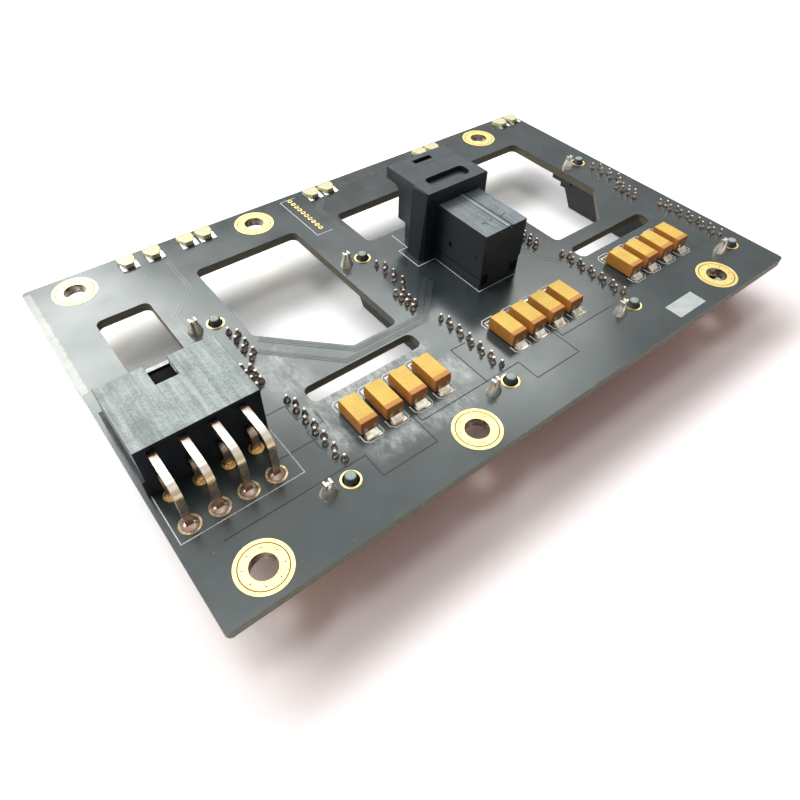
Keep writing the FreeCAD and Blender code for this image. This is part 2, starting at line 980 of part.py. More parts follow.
def main():
    """Build every piece and write one file for each node."""
    os.makedirs("parts", exist_ok=True)
    save("board", [board()])
    housing = socket_housing()
    power = socket_power_contacts()
    signal = socket_signal_contacts()
    locks = [socket_lock(0), socket_lock(peg_spacing)]
    for number, line in enumerate(drive_lines, start=1):
        name = "drive_socket_%d_" % number
        save(name + "housing", [moved(housing, line, front_peg)])
        save(name + "power_contacts", [moved(part, line, front_peg) for part in power])
        save(name + "signal_contacts", [moved(part, line, front_peg) for part in signal])
        save(name + "board_locks", [moved(part, line, front_peg) for part in locks])
    save("power_header_housing", [power_header_housing()])
    save("power_header_lower_blades", blades(0))
    save("power_header_upper_blades", blades(1))
    save("data_port_shroud", [data_port_shroud()])
    save("data_port_cover", [data_port_cover()])
    save("data_port_wafers", data_port_wafers())
    save("data_port_contacts", data_port_contacts())
    for array in range(array_count):
        letter = "abc"[array]
        for number, (x, y) in enumerate(capacitor_places(array), start=1):
            save("capacitor_%s%d" % (letter, number), [capacitor_body(x, y)])
        save("capacitor_%s_terminals" % letter, capacitor_terminals(array))
    for number, x in enumerate(light_places(), start=1):
        save("edge_light_%d" % number, [edge_light(x)])
    save("edge_light_terminals", light_terminals())


main()
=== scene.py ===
"""Finishes and fine detail of a four-drive backplane board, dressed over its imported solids."""

import json
import logging
import math
import random
from collections.abc import Iterable, Sequence
from dataclasses import dataclass
from enum import Enum
from functools import cache, cached_property

import bmesh
import bpy
from mathutils import Euler, Matrix, Vector


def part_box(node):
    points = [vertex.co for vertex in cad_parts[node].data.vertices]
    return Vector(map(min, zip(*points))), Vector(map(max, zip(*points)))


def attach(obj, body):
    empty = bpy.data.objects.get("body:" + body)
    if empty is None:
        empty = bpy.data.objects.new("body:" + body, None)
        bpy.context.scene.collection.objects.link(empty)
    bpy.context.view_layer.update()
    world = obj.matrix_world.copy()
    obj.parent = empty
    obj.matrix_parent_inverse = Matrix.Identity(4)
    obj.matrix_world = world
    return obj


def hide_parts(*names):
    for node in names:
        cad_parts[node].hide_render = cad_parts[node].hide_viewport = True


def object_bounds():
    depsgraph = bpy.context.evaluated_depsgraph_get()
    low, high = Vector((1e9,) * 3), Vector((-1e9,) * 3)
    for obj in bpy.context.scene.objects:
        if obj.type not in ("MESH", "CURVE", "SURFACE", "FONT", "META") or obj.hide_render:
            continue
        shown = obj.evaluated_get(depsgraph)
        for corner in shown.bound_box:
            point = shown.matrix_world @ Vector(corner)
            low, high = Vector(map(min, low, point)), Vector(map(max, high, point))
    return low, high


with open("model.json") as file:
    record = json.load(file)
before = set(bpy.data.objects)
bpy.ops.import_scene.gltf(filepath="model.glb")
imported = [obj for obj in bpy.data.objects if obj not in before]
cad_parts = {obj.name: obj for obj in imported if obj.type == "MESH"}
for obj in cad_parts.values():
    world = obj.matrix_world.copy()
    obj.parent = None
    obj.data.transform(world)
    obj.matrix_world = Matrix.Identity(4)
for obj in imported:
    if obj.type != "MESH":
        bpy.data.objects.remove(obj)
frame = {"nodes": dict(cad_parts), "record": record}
solid_low, solid_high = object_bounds()

Point = tuple[float, float]
Path = Sequence[Point]
Colour = tuple[float, float, float]
Socket = bpy.types.NodeSocket

LOG = logging.getLogger("backplane")
MM = 0.001
BODY = "root"
BOARD_LOW, BOARD_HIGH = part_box("board")
WIDTH, DEPTH, THICKNESS = (BOARD_HIGH - BOARD_LOW) / MM
LAND = 0.05  # height of a copper land in millimetres
INK_WIDTH, INK_HEIGHT = 0.15, 0.025  # of a printed line in millimetres
JOINT_SMOOTH = 70.0  # sharpest corner of a solder joint that is shaded smooth, in degrees


class Slot(Enum):
    """Material slots of the record, given with each new piece."""

    LAMINATE = "laminate"
    CONTACT = "contact_plate"
    TIN = "terminal_tin"
    PORT = "port_plastic"
    HEADER = "header_plastic"
    SOCKET = "socket_plastic"
    RESIN = "capacitor_resin"
    LIGHT = "light_resin"
    BLADE = "blade_tin"
    NONE = ""


class Side(Enum):
    """Face of the board that a flat detail lies on."""

    TOP = 1
    UNDER = -1


def mm(x: float, y: float, z: float = 0.0) -> Vector:
    """Return a move given in millimetres, in metres."""
    return Vector((x, y, z)) * MM


def at(x: float, y: float, z: float = 0.0) -> Vector:
    """Place a point measured in millimetres from the board's front left corner.

    Args:
        x: Distance from the left edge.
        y: Distance from the front edge.
        z: Height above the board's upper face.

    Returns:
        The point in the row frame, in metres.
    """
    return Vector((BOARD_LOW.x + x * MM, BOARD_LOW.y + y * MM, BOARD_HIGH.z + z * MM))


class Wires:
    """Adds nodes to one shader tree and joins them."""

    def __init__(self, tree: bpy.types.NodeTree) -> None:
        """Take the tree that the nodes go into."""
        self.tree = tree

    @cached_property
    def place(self) -> Socket:
        """Return the object's own coordinates, which the patterns are laid on."""
        return self.source("ShaderNodeTexCoord", "Object")

    def add(self, kind: str, feeds: dict | None = None, **settings: object) -> bpy.types.Node:
        """Add a node.

        Args:
            kind: Blender's name of the node type.
            feeds: What each input, by name or number, is joined or set to.
            settings: Values of the node's own properties.

        Returns:
            The new node.
        """
        node = self.tree.nodes.new(kind)
        for key, value in settings.items():
            setattr(node, key, value)
        for key, value in (feeds or {}).items():
            self.feed(node.inputs[key], value)
        return node

    def feed(self, socket: Socket, value: object) -> None:
        """Join a socket to another socket, or give it a plain value or a colour of three parts."""
        if isinstance(value, Socket):
            self.tree.links.new(value, socket)
        else:
            socket.default_value = (*value, 1.0) if socket.type == "RGBA" else value

    def maths(self, operation: str, a: object, b: object = 0.0, clamp: bool = False) -> Socket:
        """Join a Math node and return its result."""
        return self.add("ShaderNodeMath", {0: a, 1: b}, operation=operation, use_clamp=clamp).outputs[0]

    def times(self, a: object, b: object) -> Socket:
        """Return the product of two values."""
        return self.maths("MULTIPLY", a, b)

    def mix(self, share: object, first: object, second: object) -> Socket:
        """Return a value between two others."""
        return self.add("ShaderNodeMix", {0: share, 2: first, 3: second}).outputs[0]

    def blend(self, share: object, first: object, second: object) -> Socket:
        """Return a mixture of two colours."""
        return self.add("ShaderNodeMix", {0: share, 6: first, 7: second}, data_type="RGBA").outputs[2]

    def span(self, value: object, low: float, high: float, out_low: float = 0.0,
             out_high: float = 1.0) -> Socket:
        """Map a value from one range to another, with a smooth step."""
        return self.add("ShaderNodeMapRange", {0: value, 1: low, 2: high, 3: out_low, 4: out_high},
                        interpolation_type="SMOOTHSTEP").outputs[0]

    def stretched(self, vector: Socket, scale: Sequence[float], turn: float = 0.0) -> Socket:
        """Scale a pattern's coordinates and turn them by some degrees."""
        angles = (0.0, 0.0, math.radians(turn))
        return self.add("ShaderNodeMapping", {0: vector, 2: angles, 3: tuple(scale)}).outputs[0]

    def noise(self, vector: Socket, scale: object, detail: float, roughness: float = 0.5,
              distortion: float = 0.0) -> Socket:
        """Return a cloudy pattern from 0 to 1."""
        return self.add("ShaderNodeTexNoise", {
            "Vector": vector, "Scale": scale, "Detail": detail, "Roughness": roughness,
            "Distortion": distortion}).outputs[0]

    def axis(self, vector: Socket, number: int) -> Socket:
        """Return one of the three parts of a vector."""
        return self.add("ShaderNodeSeparateXYZ", {0: vector}).outputs[number]

    def source(self, kind: str, output: str) -> Socket:
        """Return a named output of a node that takes no input."""
        return self.add(kind).outputs[output]

    def group(self, tree: bpy.types.NodeTree, **feeds: object) -> Socket:
        """Place one shared effect with this material's own values."""
        return self.add("ShaderNodeGroup", feeds, node_tree=tree).outputs[0]


class Effects:
    """Shader node groups for the effects that several finishes share, each made once."""

    @staticmethod
    def _start(name: str, inputs: dict[str, float | None], output: str) -> tuple:
        """Begin a group with its named inputs and its output.

        Args:
            name: Name of the group.
            inputs: Each input's name and default, a vector where the default is None.
            output: Name of the one value that the group puts out.

        Returns:
            The group's wires, what it is given, by name, and the socket of its result.
        """
        tree = bpy.data.node_groups.new(name, "ShaderNodeTree")
        for key, value in inputs.items():
            kind = "NodeSocketVector" if value is None else "NodeSocketFloat"
            socket = tree.interface.new_socket(name=key, in_out="INPUT", socket_type=kind)
            if value is not None:
                socket.default_value = value
        tree.interface.new_socket(name=output, in_out="OUTPUT", socket_type="NodeSocketFloat")
        w = Wires(tree)
        return w, w.add("NodeGroupInput").outputs, w.add("NodeGroupOutput").inputs[0]

    @staticmethod
    @cache
    def mottle() -> bpy.types.NodeTree:
        """Cloudy unevenness of a colour or gloss."""
        w, given, result = Effects._start(
            "mottle", {"Vector": None, "Scale": 300.0, "Contrast": 0.5}, "Share")
        away = w.maths("SUBTRACT", w.noise(given["Vector"], given["Scale"], 5.0, 0.6), 0.5)
        gain = w.times(away, w.times(given["Contrast"], 4.0))
        w.feed(result, w.maths("ADD", gain, 0.5, clamp=True))
        return w.tree

    @staticmethod
    @cache
    def specks() -> bpy.types.NodeTree:
        """Sparse small round specks, as dust or pits."""
        w, given, result = Effects._start(
            "specks", {"Vector": None, "Scale": 900.0, "Size": 0.16, "Share": 0.3}, "Mask")
        cells = w.add("ShaderNodeTexVoronoi", {"Vector": given["Vector"], "Scale": given["Scale"]})
        inside = w.maths("LESS_THAN", cells.outputs["Distance"], given["Size"])
        split = w.add("ShaderNodeSeparateColor", {0: cells.outputs["Color"]})
        w.feed(result, w.times(inside, w.maths("LESS_THAN", split.outputs[0], given["Share"])))
        return w.tree

    @staticmethod
    @cache
    def scuffs() -> bpy.types.NodeTree:
        """Long fine scratches that follow one direction of the coordinates."""
        w, given, result = Effects._start(
            "scuffs", {"Vector": None, "Scale": 200.0, "Amount": 0.4}, "Mask")
        noise = w.noise(given["Vector"], given["Scale"], 3.0, 0.7, 0.3)
        edge = w.maths("SUBTRACT", 0.82, w.times(given["Amount"], 0.35))
        w.feed(result, w.maths("MULTIPLY", w.maths("SUBTRACT", noise, edge), 9.0, clamp=True))
        return w.tree

    @staticmethod
    @cache
    def zone() -> bpy.types.NodeTree:
        """A soft-edged rectangle of the board, for what lies on one part of it only."""
        names = {"Vector": None, "Left": 0.0, "Right": 0.0, "Front": 0.0, "Back": 0.0, "Soft": 0.001}
        w, given, result = Effects._start("zone", names, "Mask")
        mask = None
        sides = {"Left": (0, 1.0), "Right": (0, -1.0), "Front": (1, 1.0), "Back": (1, -1.0)}
        for side, (number, sign) in sides.items():
            away = w.maths("SUBTRACT", w.axis(given["Vector"], number), given[side])
            rise = w.maths("ADD", w.maths("DIVIDE", w.times(away, sign), given["Soft"]), 0.5, clamp=True)
            mask = rise if mask is None else w.times(mask, rise)
        w.feed(result, mask)
        return w.tree


def patch(w: Wires, sides: Sequence[float], soft: float) -> Socket:
    """Mark one soft-edged rectangle of the board.

    Args:
        w: Wires of the material.
        sides: Left, right, front and back side in millimetres from the front left corner.
        soft: Width of the soft edge in millimetres.

    Returns:
        A mask of 1 inside.
    """
    left, right, front, back = sides
    low, high = at(left, front), at(right, back)
    return w.group(Effects.zone(), Vector=w.place, Left=low.x, Right=high.x, Front=low.y, Back=high.y,
                   Soft=soft * MM)


@dataclass(frozen=True)
class Wear:
    """How scuffs and dust lie on every finish that has them."""

    scuff_scale: float = 1400.0
    scuff_stretch: tuple[float, float, float] = (1.0, 0.12, 1.0)
    scuff_turn: float = 8.0
    dust_scale: float = 1500.0
    dust_size: float = 0.11
    dust_cover: float = 0.3
    dust_colour: Colour = (0.62, 0.6, 0.55)
    coat_roughness: float = 0.12
    grain_strength: float = 0.6


@dataclass(frozen=True)
class Finish:
    """A plain finish with uneven colour and gloss, fine grain, scuffs and dust, and on some a paler top that
    is painted sheen.
    """

    name: str
    colour: Colour
    second: Colour
    roughness: float = 0.5
    uneven: float = 0.12
    metallic: float = 0.0
    cloud: float = 260.0
    contrast: float = 0.5
    grain: float = 0.0
    grain_scale: float = 4000.0
    scuff: float = 0.0
    scuff_colour: Colour = (0.5, 0.5, 0.5)
    dust: float = 0.0
    specular: float = 0.5
    coat: float = 0.0
    # upper and upper_second: paler colour of the top faces, painted sheen of the light on them; upper_from:
    # height above the board's upper face in millimetres from which it is painted
    upper: Colour | None = None
    upper_second: Colour = (0.3, 0.3, 0.3)
    upper_from: float = -100.0
    streak: float = 0.4
    sheen: Colour = (1.0, 1.0, 1.0)
    wear: Wear = Wear()

    def upward(self, w: Wires) -> Socket:
        """Return 1 where the surface faces up and 0 on the sides."""
        return w.span(w.axis(w.source("ShaderNodeNewGeometry", "Normal"), 2), 0.6, 0.95)

    def sheen_and_wear_top(self, w: Wires) -> Socket:
        """Return 1 on the outermost upper faces, which are painted paler as sheen of the light falling on
        them, and on the header also as scuffing.
        """
        high = w.maths("GREATER_THAN", w.axis(w.place, 2), BOARD_HIGH.z + self.upper_from * MM)
        return w.times(high, self.upward(w))

    def sheen_and_scratch_colour(self, w: Wires) -> Socket:
        """Return the colour of the painted sheen on a top face, mottled and streaked along one way as by
        scratches.
        """
        streaks = w.noise(w.stretched(w.place, (1.0, 0.035, 1.0)), 1500.0, 4.0, 0.7)
        grains = w.times(w.noise(w.place, 3200.0, 3.0, 0.75), 0.6)
        even = w.maths("ADD", grains, w.times(w.noise(w.place, 330.0, 4.0), 0.4))
        return w.blend(w.span(w.mix(self.streak, even, streaks), 0.38, 0.62), self.upper, self.upper_second)

    def tint(self, w: Wires, base: Socket) -> Socket:
        """Return the colour after what this finish adds to its base."""
        return base

    def extra_gloss(self, w: Wires, rough: Socket) -> Socket:
        """Return the roughness after what this finish adds to it."""
        return rough

    def build(self) -> bpy.types.Material:
        """Make the material.

        Returns:
            The finished material, one for each finish.
        """
        known = bpy.data.materials.get(self.name)
        if known:
            return known
        material = bpy.data.materials.new(self.name)
        material.use_nodes = True
        w, wear = Wires(material.node_tree), self.wear
        shader = w.tree.nodes["Principled BSDF"]
        share = w.group(Effects.mottle(), Vector=w.place, Scale=self.cloud, Contrast=self.contrast)
        colour = w.blend(share, self.colour, self.second)
        rough = w.span(share, 0.0, 1.0, self.roughness - self.uneven, self.roughness + self.uneven)
        # painted sheen: the outer upper faces take the paler colour
        if self.upper is not None:
            colour = w.blend(self.sheen_and_wear_top(w), colour, self.sheen_and_scratch_colour(w))
        if self.scuff:
            along = w.stretched(w.place, wear.scuff_stretch, wear.scuff_turn)
            marks = w.group(Effects.scuffs(), Vector=along, Scale=wear.scuff_scale, Amount=self.scuff)
            colour = w.blend(marks, colour, self.scuff_colour)
        if self.dust:
            motes = w.group(Effects.specks(), Vector=w.place, Scale=wear.dust_scale, Size=wear.dust_size,
                            Share=self.dust)
            lying = w.times(motes, self.upward(w))
            colour = w.blend(w.times(lying, wear.dust_cover), colour, wear.dust_colour)
        feeds = {
            "Base Color": self.tint(w, colour), "Roughness": self.extra_gloss(w, rough),
            "Metallic": self.metallic, "Specular IOR Level": self.specular, "Specular Tint": self.sheen,
            "Coat Weight": self.coat, "Coat Roughness": wear.coat_roughness,
        }
        if self.grain:
            fine = w.noise(w.place, self.grain_scale, 3.0)
            feeds["Normal"] = w.add("ShaderNodeBump", {
                "Strength": wear.grain_strength, "Distance": self.grain * MM, "Height": fine}).outputs[0]
        for key, value in feeds.items():
            w.feed(shader.inputs[key], value)
        return material


@dataclass(frozen=True)
class LaminateFinish(Finish):
    """Glossy solder mask on the faces and bare glass-epoxy on the cut edges."""

    edge: Colour = (0.34, 0.33, 0.25)
    edge_dark: Colour = (0.17, 0.16, 0.115)
    # walls of the windows and holes: fibres painted darker as the shade inside the openings
    inner: Colour = (0.15, 0.13, 0.085)
    inner_dark: Colour = (0.07, 0.058, 0.035)
    inset: float = 0.6
    inset_soft: float = 0.01
    residue: Colour = (0.5, 0.52, 0.5)
    residue_cover: float = 0.78
    residue_dull: float = 0.15
    cut_dull: float = 0.45
    bare: Colour = (0.34, 0.335, 0.28)
    bare_cover: float = 0.8
    bare_sides: tuple[float, ...] = (-1.0, 1.6, 44.5, 73.4)
    bare_soft: float = 1.2
    patches: tuple[tuple[float, ...], ...] = (
        (26.5, 48.0, 21.0, 24.4, 1.5), (28.5, 47.0, 8.8, 12.2, 2.5), (24.0, 27.5, 13.0, 24.0, 2.5),
        (45.5, 49.8, 12.5, 18.5, 1.5), (23.0, 29.0, 26.0, 36.0, 3.0))

    def tint(self, w: Wires, base: Socket) -> Socket:
        """Add the flux residue to the mask, and the fibres to the edges, painted darker as shade on the walls
        of the windows and holes.
        """
        faces = w.blend(w.times(self.film(w), self.residue_cover), base, self.residue)
        faces = w.blend(self.worn_rim(w), faces, self.bare)
        fibres = w.noise(w.stretched(w.place, (0.25, 0.25, 3.0)), 2600.0, 4.0, 0.7)
        fibre = w.span(fibres, 0.35, 0.68)
        rim = w.blend(fibre, self.edge_dark, self.edge)
        shaded_wall = w.blend(fibre, self.inner_dark, self.inner)
        return w.blend(self.face_share(w), w.blend(self.inside(w), rim, shaded_wall), faces)

    def inside(self, w: Wires) -> Socket:
        """Return 1 in the windows and holes, and 0 on the outer rim."""
        sides = (self.inset, WIDTH - self.inset, self.inset, DEPTH - self.inset)
        return patch(w, sides, self.inset_soft)

    def face_share(self, w: Wires) -> Socket:
        """Return 1 on the two faces and 0 on the cut edges."""
        up = w.axis(w.source("ShaderNodeNewGeometry", "True Normal"), 2)
        return w.maths("GREATER_THAN", w.maths("ABSOLUTE", up), 0.5)

    def worn_rim(self, w: Wires) -> Socket:
        """Return how far the mask is worn through along the back of the left edge."""
        strip = patch(w, self.bare_sides, self.bare_soft)
        share = w.maths("ADD", strip, w.times(w.noise(w.place, 900.0, 6.0, 0.7), 0.8))
        return w.times(w.span(share, 1.1, 1.4), w.times(self.upward(w), self.bare_cover))

    def film(self, w: Wires) -> Socket:
        """Return how much dried flux lies at each place round the first array of capacitors."""
        total = None
        for *sides, soft in self.patches:
            mask = patch(w, sides, soft)
            total = mask if total is None else w.maths("MAXIMUM", total, mask)
        cloud = w.noise(w.stretched(w.place, (1.0, 0.5, 1.0), 35.0), 700.0, 7.0, 0.75)
        return w.times(w.times(total, w.span(cloud, 0.36, 0.68)), self.upward(w))

    def extra_gloss(self, w: Wires, rough: Socket) -> Socket:
        """Dull the cut edges and the flux residue."""
        cut = w.maths("SUBTRACT", 1.0, self.face_share(w))
        dull = w.maths("MAXIMUM", cut, w.times(self.film(w), self.residue_dull))
        return w.maths("ADD", rough, w.times(dull, self.cut_dull), clamp=True)


@dataclass(frozen=True)
class PaintedLightFinish(Finish):
    """A moulding whose upper face has strips of another tone: painted shade in a groove, or a painted
    highlight along a ridge.
    """

    marks: tuple[tuple[float, float, float, float], ...] = ()
    # tone of the strips: dark for painted shade by default, pale where given for a painted highlight
    painted_light_tone: Colour = (0.01, 0.01, 0.012)
    painted_light_soft: float = 0.06

    def tint(self, w: Wires, base: Socket) -> Socket:
        """Lay each strip of painted shade or painted highlight on the upper face, given by its left, right,
        front and back sides.
        """
        for sides in self.marks:
            mask = patch(w, sides, self.painted_light_soft)
            base = w.blend(w.times(mask, self.sheen_and_wear_top(w)), base, self.painted_light_tone)
        return base


@dataclass(frozen=True)
class ResinFinish(Finish):
    """Moulded capacitor resin with a darker stripe at its positive end."""

    stripe: Colour = (0.66, 0.25, 0.07)
    stripe_from: float = 13.45
    stripe_to: float = 14.55
    stripe_cover: float = 0.85

    def tint(self, w: Wires, base: Socket) -> Socket:
        """Print the stripe across the front end."""
        y = w.axis(w.place, 1)
        inside = w.times(w.maths("GREATER_THAN", y, at(0.0, self.stripe_from).y),
                         w.maths("LESS_THAN", y, at(0.0, self.stripe_to).y))
        return w.blend(w.times(inside, self.stripe_cover), base, self.stripe)


@dataclass(frozen=True)
class BladeFinish(Finish):
    """Tinned blades, painted dark as shade where they leave the moulding, and lighter up at the bends and
    darker towards their feet.
    """

    straw: Colour = (0.66, 0.55, 0.38)
    brown: Colour = (0.46, 0.34, 0.28)
    foot: Colour = (0.3, 0.22, 0.19)
    # painted shade where the blades leave the moulding
    root: Colour = (0.1, 0.075, 0.06)
    bend_levels: Point = (3.2, 5.6)
    foot_levels: Point = (0.3, 2.6)
    root_shade_reach: Point = (-2.8, -0.1)
    wander: float = 1.4

    def tint(self, w: Wires, base: Socket) -> Socket:
        """Paint shade on the level faces at the moulding, and give the other faces a tone that is lighter up
        at the bends and darker towards the feet.
        """

        def fade(number: int, start: float, reach: Point) -> Socket:
            """Return a wandering fade along one axis, between two places given from a start."""
            low, high = (start + end * MM for end in reach)
            return w.span(w.maths("ADD", w.axis(w.place, number), shift), low, high)

        shift = w.times(w.maths("SUBTRACT", w.noise(w.place, 900.0, 3.0), 0.5), self.wander * MM)
        bend = w.blend(fade(2, BOARD_HIGH.z, self.bend_levels), self.brown, self.straw)
        side = w.blend(fade(2, BOARD_HIGH.z, self.foot_levels), self.foot, bend)
        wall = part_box("power_header_housing")[0].y
        face = w.blend(fade(1, wall, self.root_shade_reach), base, self.root)
        return w.blend(self.upward(w), side, face)


class Finishes:
    """Every finish of the board, by what it covers."""

    _SHEEN = (0.92, 1.0, 0.95)
    _MOULDED = {"uneven": 0.08, "cloud": 350.0, "grain": 0.02, "grain_scale": 5000.0}

    MASK = LaminateFinish(
        "solder_mask", (0.024, 0.033, 0.037), (0.036, 0.047, 0.05), roughness=0.22, uneven=0.05, cloud=90.0,
        contrast=0.6, grain=0.002, grain_scale=900.0, dust=0.03, specular=0.7, sheen=_SHEEN)
    TRACK = Finish(
        "masked_copper", (0.05, 0.064, 0.064), (0.068, 0.082, 0.08), roughness=0.24, uneven=0.05,
        grain=0.002, grain_scale=2500.0, specular=0.8, sheen=_SHEEN)
    GAP = Finish(
        "plane_gap", (0.011, 0.015, 0.017), (0.016, 0.021, 0.023), roughness=0.5, uneven=0.05, specular=0.35)
    GOLD = Finish(
        "gold_plating", (0.9, 0.72, 0.3), (0.82, 0.6, 0.22), roughness=0.4, uneven=0.1, metallic=1.0,
        cloud=500.0, grain=0.006, grain_scale=3000.0, scuff=0.2, scuff_colour=(0.97, 0.86, 0.52))
    BARREL = Finish(
        "worn_barrel", (0.5, 0.45, 0.36), (0.1, 0.075, 0.05), roughness=0.4, uneven=0.1, metallic=0.8,
        cloud=900.0, contrast=1.0, grain=0.06, grain_scale=1500.0)
    GROOVE = Finish("land_groove", (0.18, 0.1, 0.05), (0.25, 0.15, 0.08), roughness=0.5, cloud=900.0)
    TIN = Finish(
        "tinned_strip", (0.7, 0.7, 0.68), (0.52, 0.51, 0.49), roughness=0.28, metallic=1.0, cloud=700.0,
        grain=0.008, grain_scale=3500.0)
    SOLDER = Finish(
        "solder", (0.64, 0.62, 0.53), (0.31, 0.26, 0.18), roughness=0.25, uneven=0.1, metallic=0.9,
        cloud=900.0, contrast=0.8, grain=0.03, grain_scale=2200.0)
    LOCKED = Finish(
        "lock_solder", (0.92, 0.92, 0.82), (0.56, 0.46, 0.36), roughness=0.24, uneven=0.1, metallic=0.65,
        cloud=700.0, contrast=0.8, grain=0.03, grain_scale=1800.0, coat=0.3)
    JOINT = Finish(
        "flux_stained_solder", (0.5, 0.46, 0.4), (0.15, 0.1, 0.085), roughness=0.22, uneven=0.1,
        metallic=0.85, cloud=1500.0, contrast=0.9, grain=0.02, grain_scale=2200.0, coat=0.3)
    # upper header lands: gold dulled by flux and darkened with painted shade of the header
    FLUX_AND_SHADE_LAND = Finish(
        "fluxed_and_shaded_land", (0.62, 0.5, 0.28), (0.22, 0.17, 0.09), roughness=0.3, uneven=0.1, metallic=0.9,
        cloud=1100.0, contrast=1.0, grain=0.01, grain_scale=2200.0)
    FLUXED = Finish(
        "fluxed_blade_joint", (0.52, 0.42, 0.34), (0.3, 0.16, 0.12), roughness=0.2, uneven=0.1,
        metallic=0.55, cloud=900.0, contrast=0.9, grain=0.03, grain_scale=1600.0, coat=0.5)
    COPPERY = Finish(
        "golden_blade_joint", (0.95, 0.6, 0.27), (0.7, 0.34, 0.12), roughness=0.3, uneven=0.1,
        metallic=0.8, cloud=900.0, contrast=0.7, grain=0.02, grain_scale=2200.0)
    BRIGHT = Finish(
        "solder_tip", (0.8, 0.79, 0.72), (0.45, 0.42, 0.36), roughness=0.25, uneven=0.08, metallic=1.0,
        cloud=1500.0)
    CONTACT = Finish(
        "contact_alloy", (0.5, 0.45, 0.38), (0.3, 0.25, 0.2), roughness=0.3, uneven=0.1, metallic=1.0,
        cloud=900.0, grain=0.004)
    BLADE = BladeFinish(
        "tinned_blade", (0.46, 0.445, 0.4), (0.27, 0.24, 0.19), roughness=0.27, uneven=0.07, metallic=1.0,
        cloud=500.0, grain=0.004, grain_scale=2500.0, scuff=0.15, scuff_colour=(0.5, 0.46, 0.42))
    # header: its light-grey top is painted sheen of the window light, with some scuffing
    HEADER = Finish(
        "header_moulding", (0.008, 0.014, 0.024), (0.014, 0.022, 0.034), roughness=0.42, specular=0.25,
        upper=(0.23, 0.275, 0.26), upper_second=(0.53, 0.6, 0.565), upper_from=8.1, scuff=0.12,
        scuff_colour=(0.05, 0.065, 0.065), **_MOULDED)
    # painted highlight: pale grey for the sheet on the catch's top
    CATCH_HIGHLIGHT = Finish(
        "painted_catch_highlight", (0.72, 0.76, 0.74), (0.5, 0.55, 0.53), roughness=0.35, cloud=900.0, grain=0.01,
        grain_scale=5000.0)
    # port: a paler top of painted sheen, and a dark line of painted shade at the step across the hood's top
    PORT = PaintedLightFinish(
        "port_moulding", (0.009, 0.015, 0.02), (0.015, 0.022, 0.028), roughness=0.42, specular=0.28,
        upper=(0.045, 0.058, 0.064), upper_second=(0.076, 0.092, 0.099), upper_from=12.6, streak=0.2,
        marks=((61.0, 77.0, 48.3, 48.46),), **_MOULDED)
    # cover: a paler top of painted sheen, and a pale strip of painted highlight along its ridge
    COVER = PaintedLightFinish(
        "cover_moulding", (0.018, 0.023, 0.028), (0.026, 0.032, 0.037), roughness=0.42, specular=0.28,
        upper=(0.14, 0.17, 0.185), upper_second=(0.29, 0.33, 0.345), upper_from=10.0,
        marks=((69.45, 69.8, 20.0, 40.0),), painted_light_tone=(0.4, 0.45, 0.46), **_MOULDED)
    # socket: paler upper faces of painted sheen
    SOCKET = Finish(
        "socket_moulding", (0.036, 0.041, 0.046), (0.05, 0.056, 0.061), roughness=0.5, dust=0.05,
        specular=0.4, upper=(0.3, 0.36, 0.345), upper_second=(0.42, 0.49, 0.47), upper_from=0.9,
        streak=0.1, **_MOULDED)
    POCKET = Finish("pocket_floor", (0.04, 0.047, 0.05), (0.055, 0.063, 0.066), cloud=500.0)
    WAFER = Finish("wafer_moulding", (0.014, 0.014, 0.016), (0.022, 0.022, 0.024), roughness=0.55)
    # capacitors: the top is painted lighter and yellower than the orange sides, as lit from above
    RESIN = ResinFinish(
        "capacitor_moulding", (0.6, 0.27, 0.05), (0.5, 0.2, 0.03), roughness=0.45, uneven=0.08,
        cloud=800.0, grain=0.015, grain_scale=6000.0, specular=0.3, upper=(0.84, 0.53, 0.1),
        upper_second=(0.95, 0.66, 0.15), streak=0.0)
    LIGHT = Finish(
        "milky_resin", (0.93, 0.89, 0.56), (0.84, 0.78, 0.42), roughness=0.26, uneven=0.08, cloud=900.0,
        contrast=0.7, coat=0.4)
    INK = Finish(
        "printed_line", (0.86, 0.88, 0.87), (0.64, 0.67, 0.66), roughness=0.6, uneven=0.1, cloud=1600.0,
        contrast=0.7, grain=0.006, grain_scale=6000.0)
    LABEL = Finish(
        "printed_block", (0.66, 0.71, 0.69), (0.5, 0.55, 0.53), uneven=0.1, cloud=600.0, grain=0.006,
        grain_scale=6000.0)
    # painted shade: near-black for holes, recesses and the notch floor
    PAINTED_SHADE = Finish("painted_hole_shade", (0.003, 0.004, 0.005), (0.006, 0.007, 0.009), roughness=0.7, specular=0.06)

    BY_SLOT = {
        "laminate": MASK, "socket_plastic": SOCKET, "contact_plate": CONTACT, "lock_steel": LOCKED,
        "header_plastic": HEADER, "blade_tin": BLADE, "port_plastic": PORT, "wafer_plastic": WAFER,
        "capacitor_resin": RESIN, "terminal_tin": TIN, "light_resin": LIGHT,
    }


def round_off(mesh: bmesh.types.BMesh, edges: list, width: float, clamp: bool = False) -> None:
    """Round some edges.

    Args:
        mesh: The mesh that they belong to.
        edges: The edges.
        width: Width of the rounding in millimetres.
        clamp: Whether the rounding shrinks where it has no room.
    """
    bmesh.ops.bevel(mesh, geom=edges, offset=width * MM, offset_type="OFFSET", affect="EDGES",
                    segments=2, profile=0.5, material=-1, clamp_overlap=clamp)


def chained(mesh: bmesh.types.BMesh, places: Iterable[Vector], closed: bool) -> None:
    """Join places in a mesh with edges, and the last to the first where it is closed."""
    verts = [mesh.verts.new(place) for place in places]
    for first, second in zip(verts, verts[1:] + (verts[:1] if closed else [])):
        mesh.edges.new((first, second))


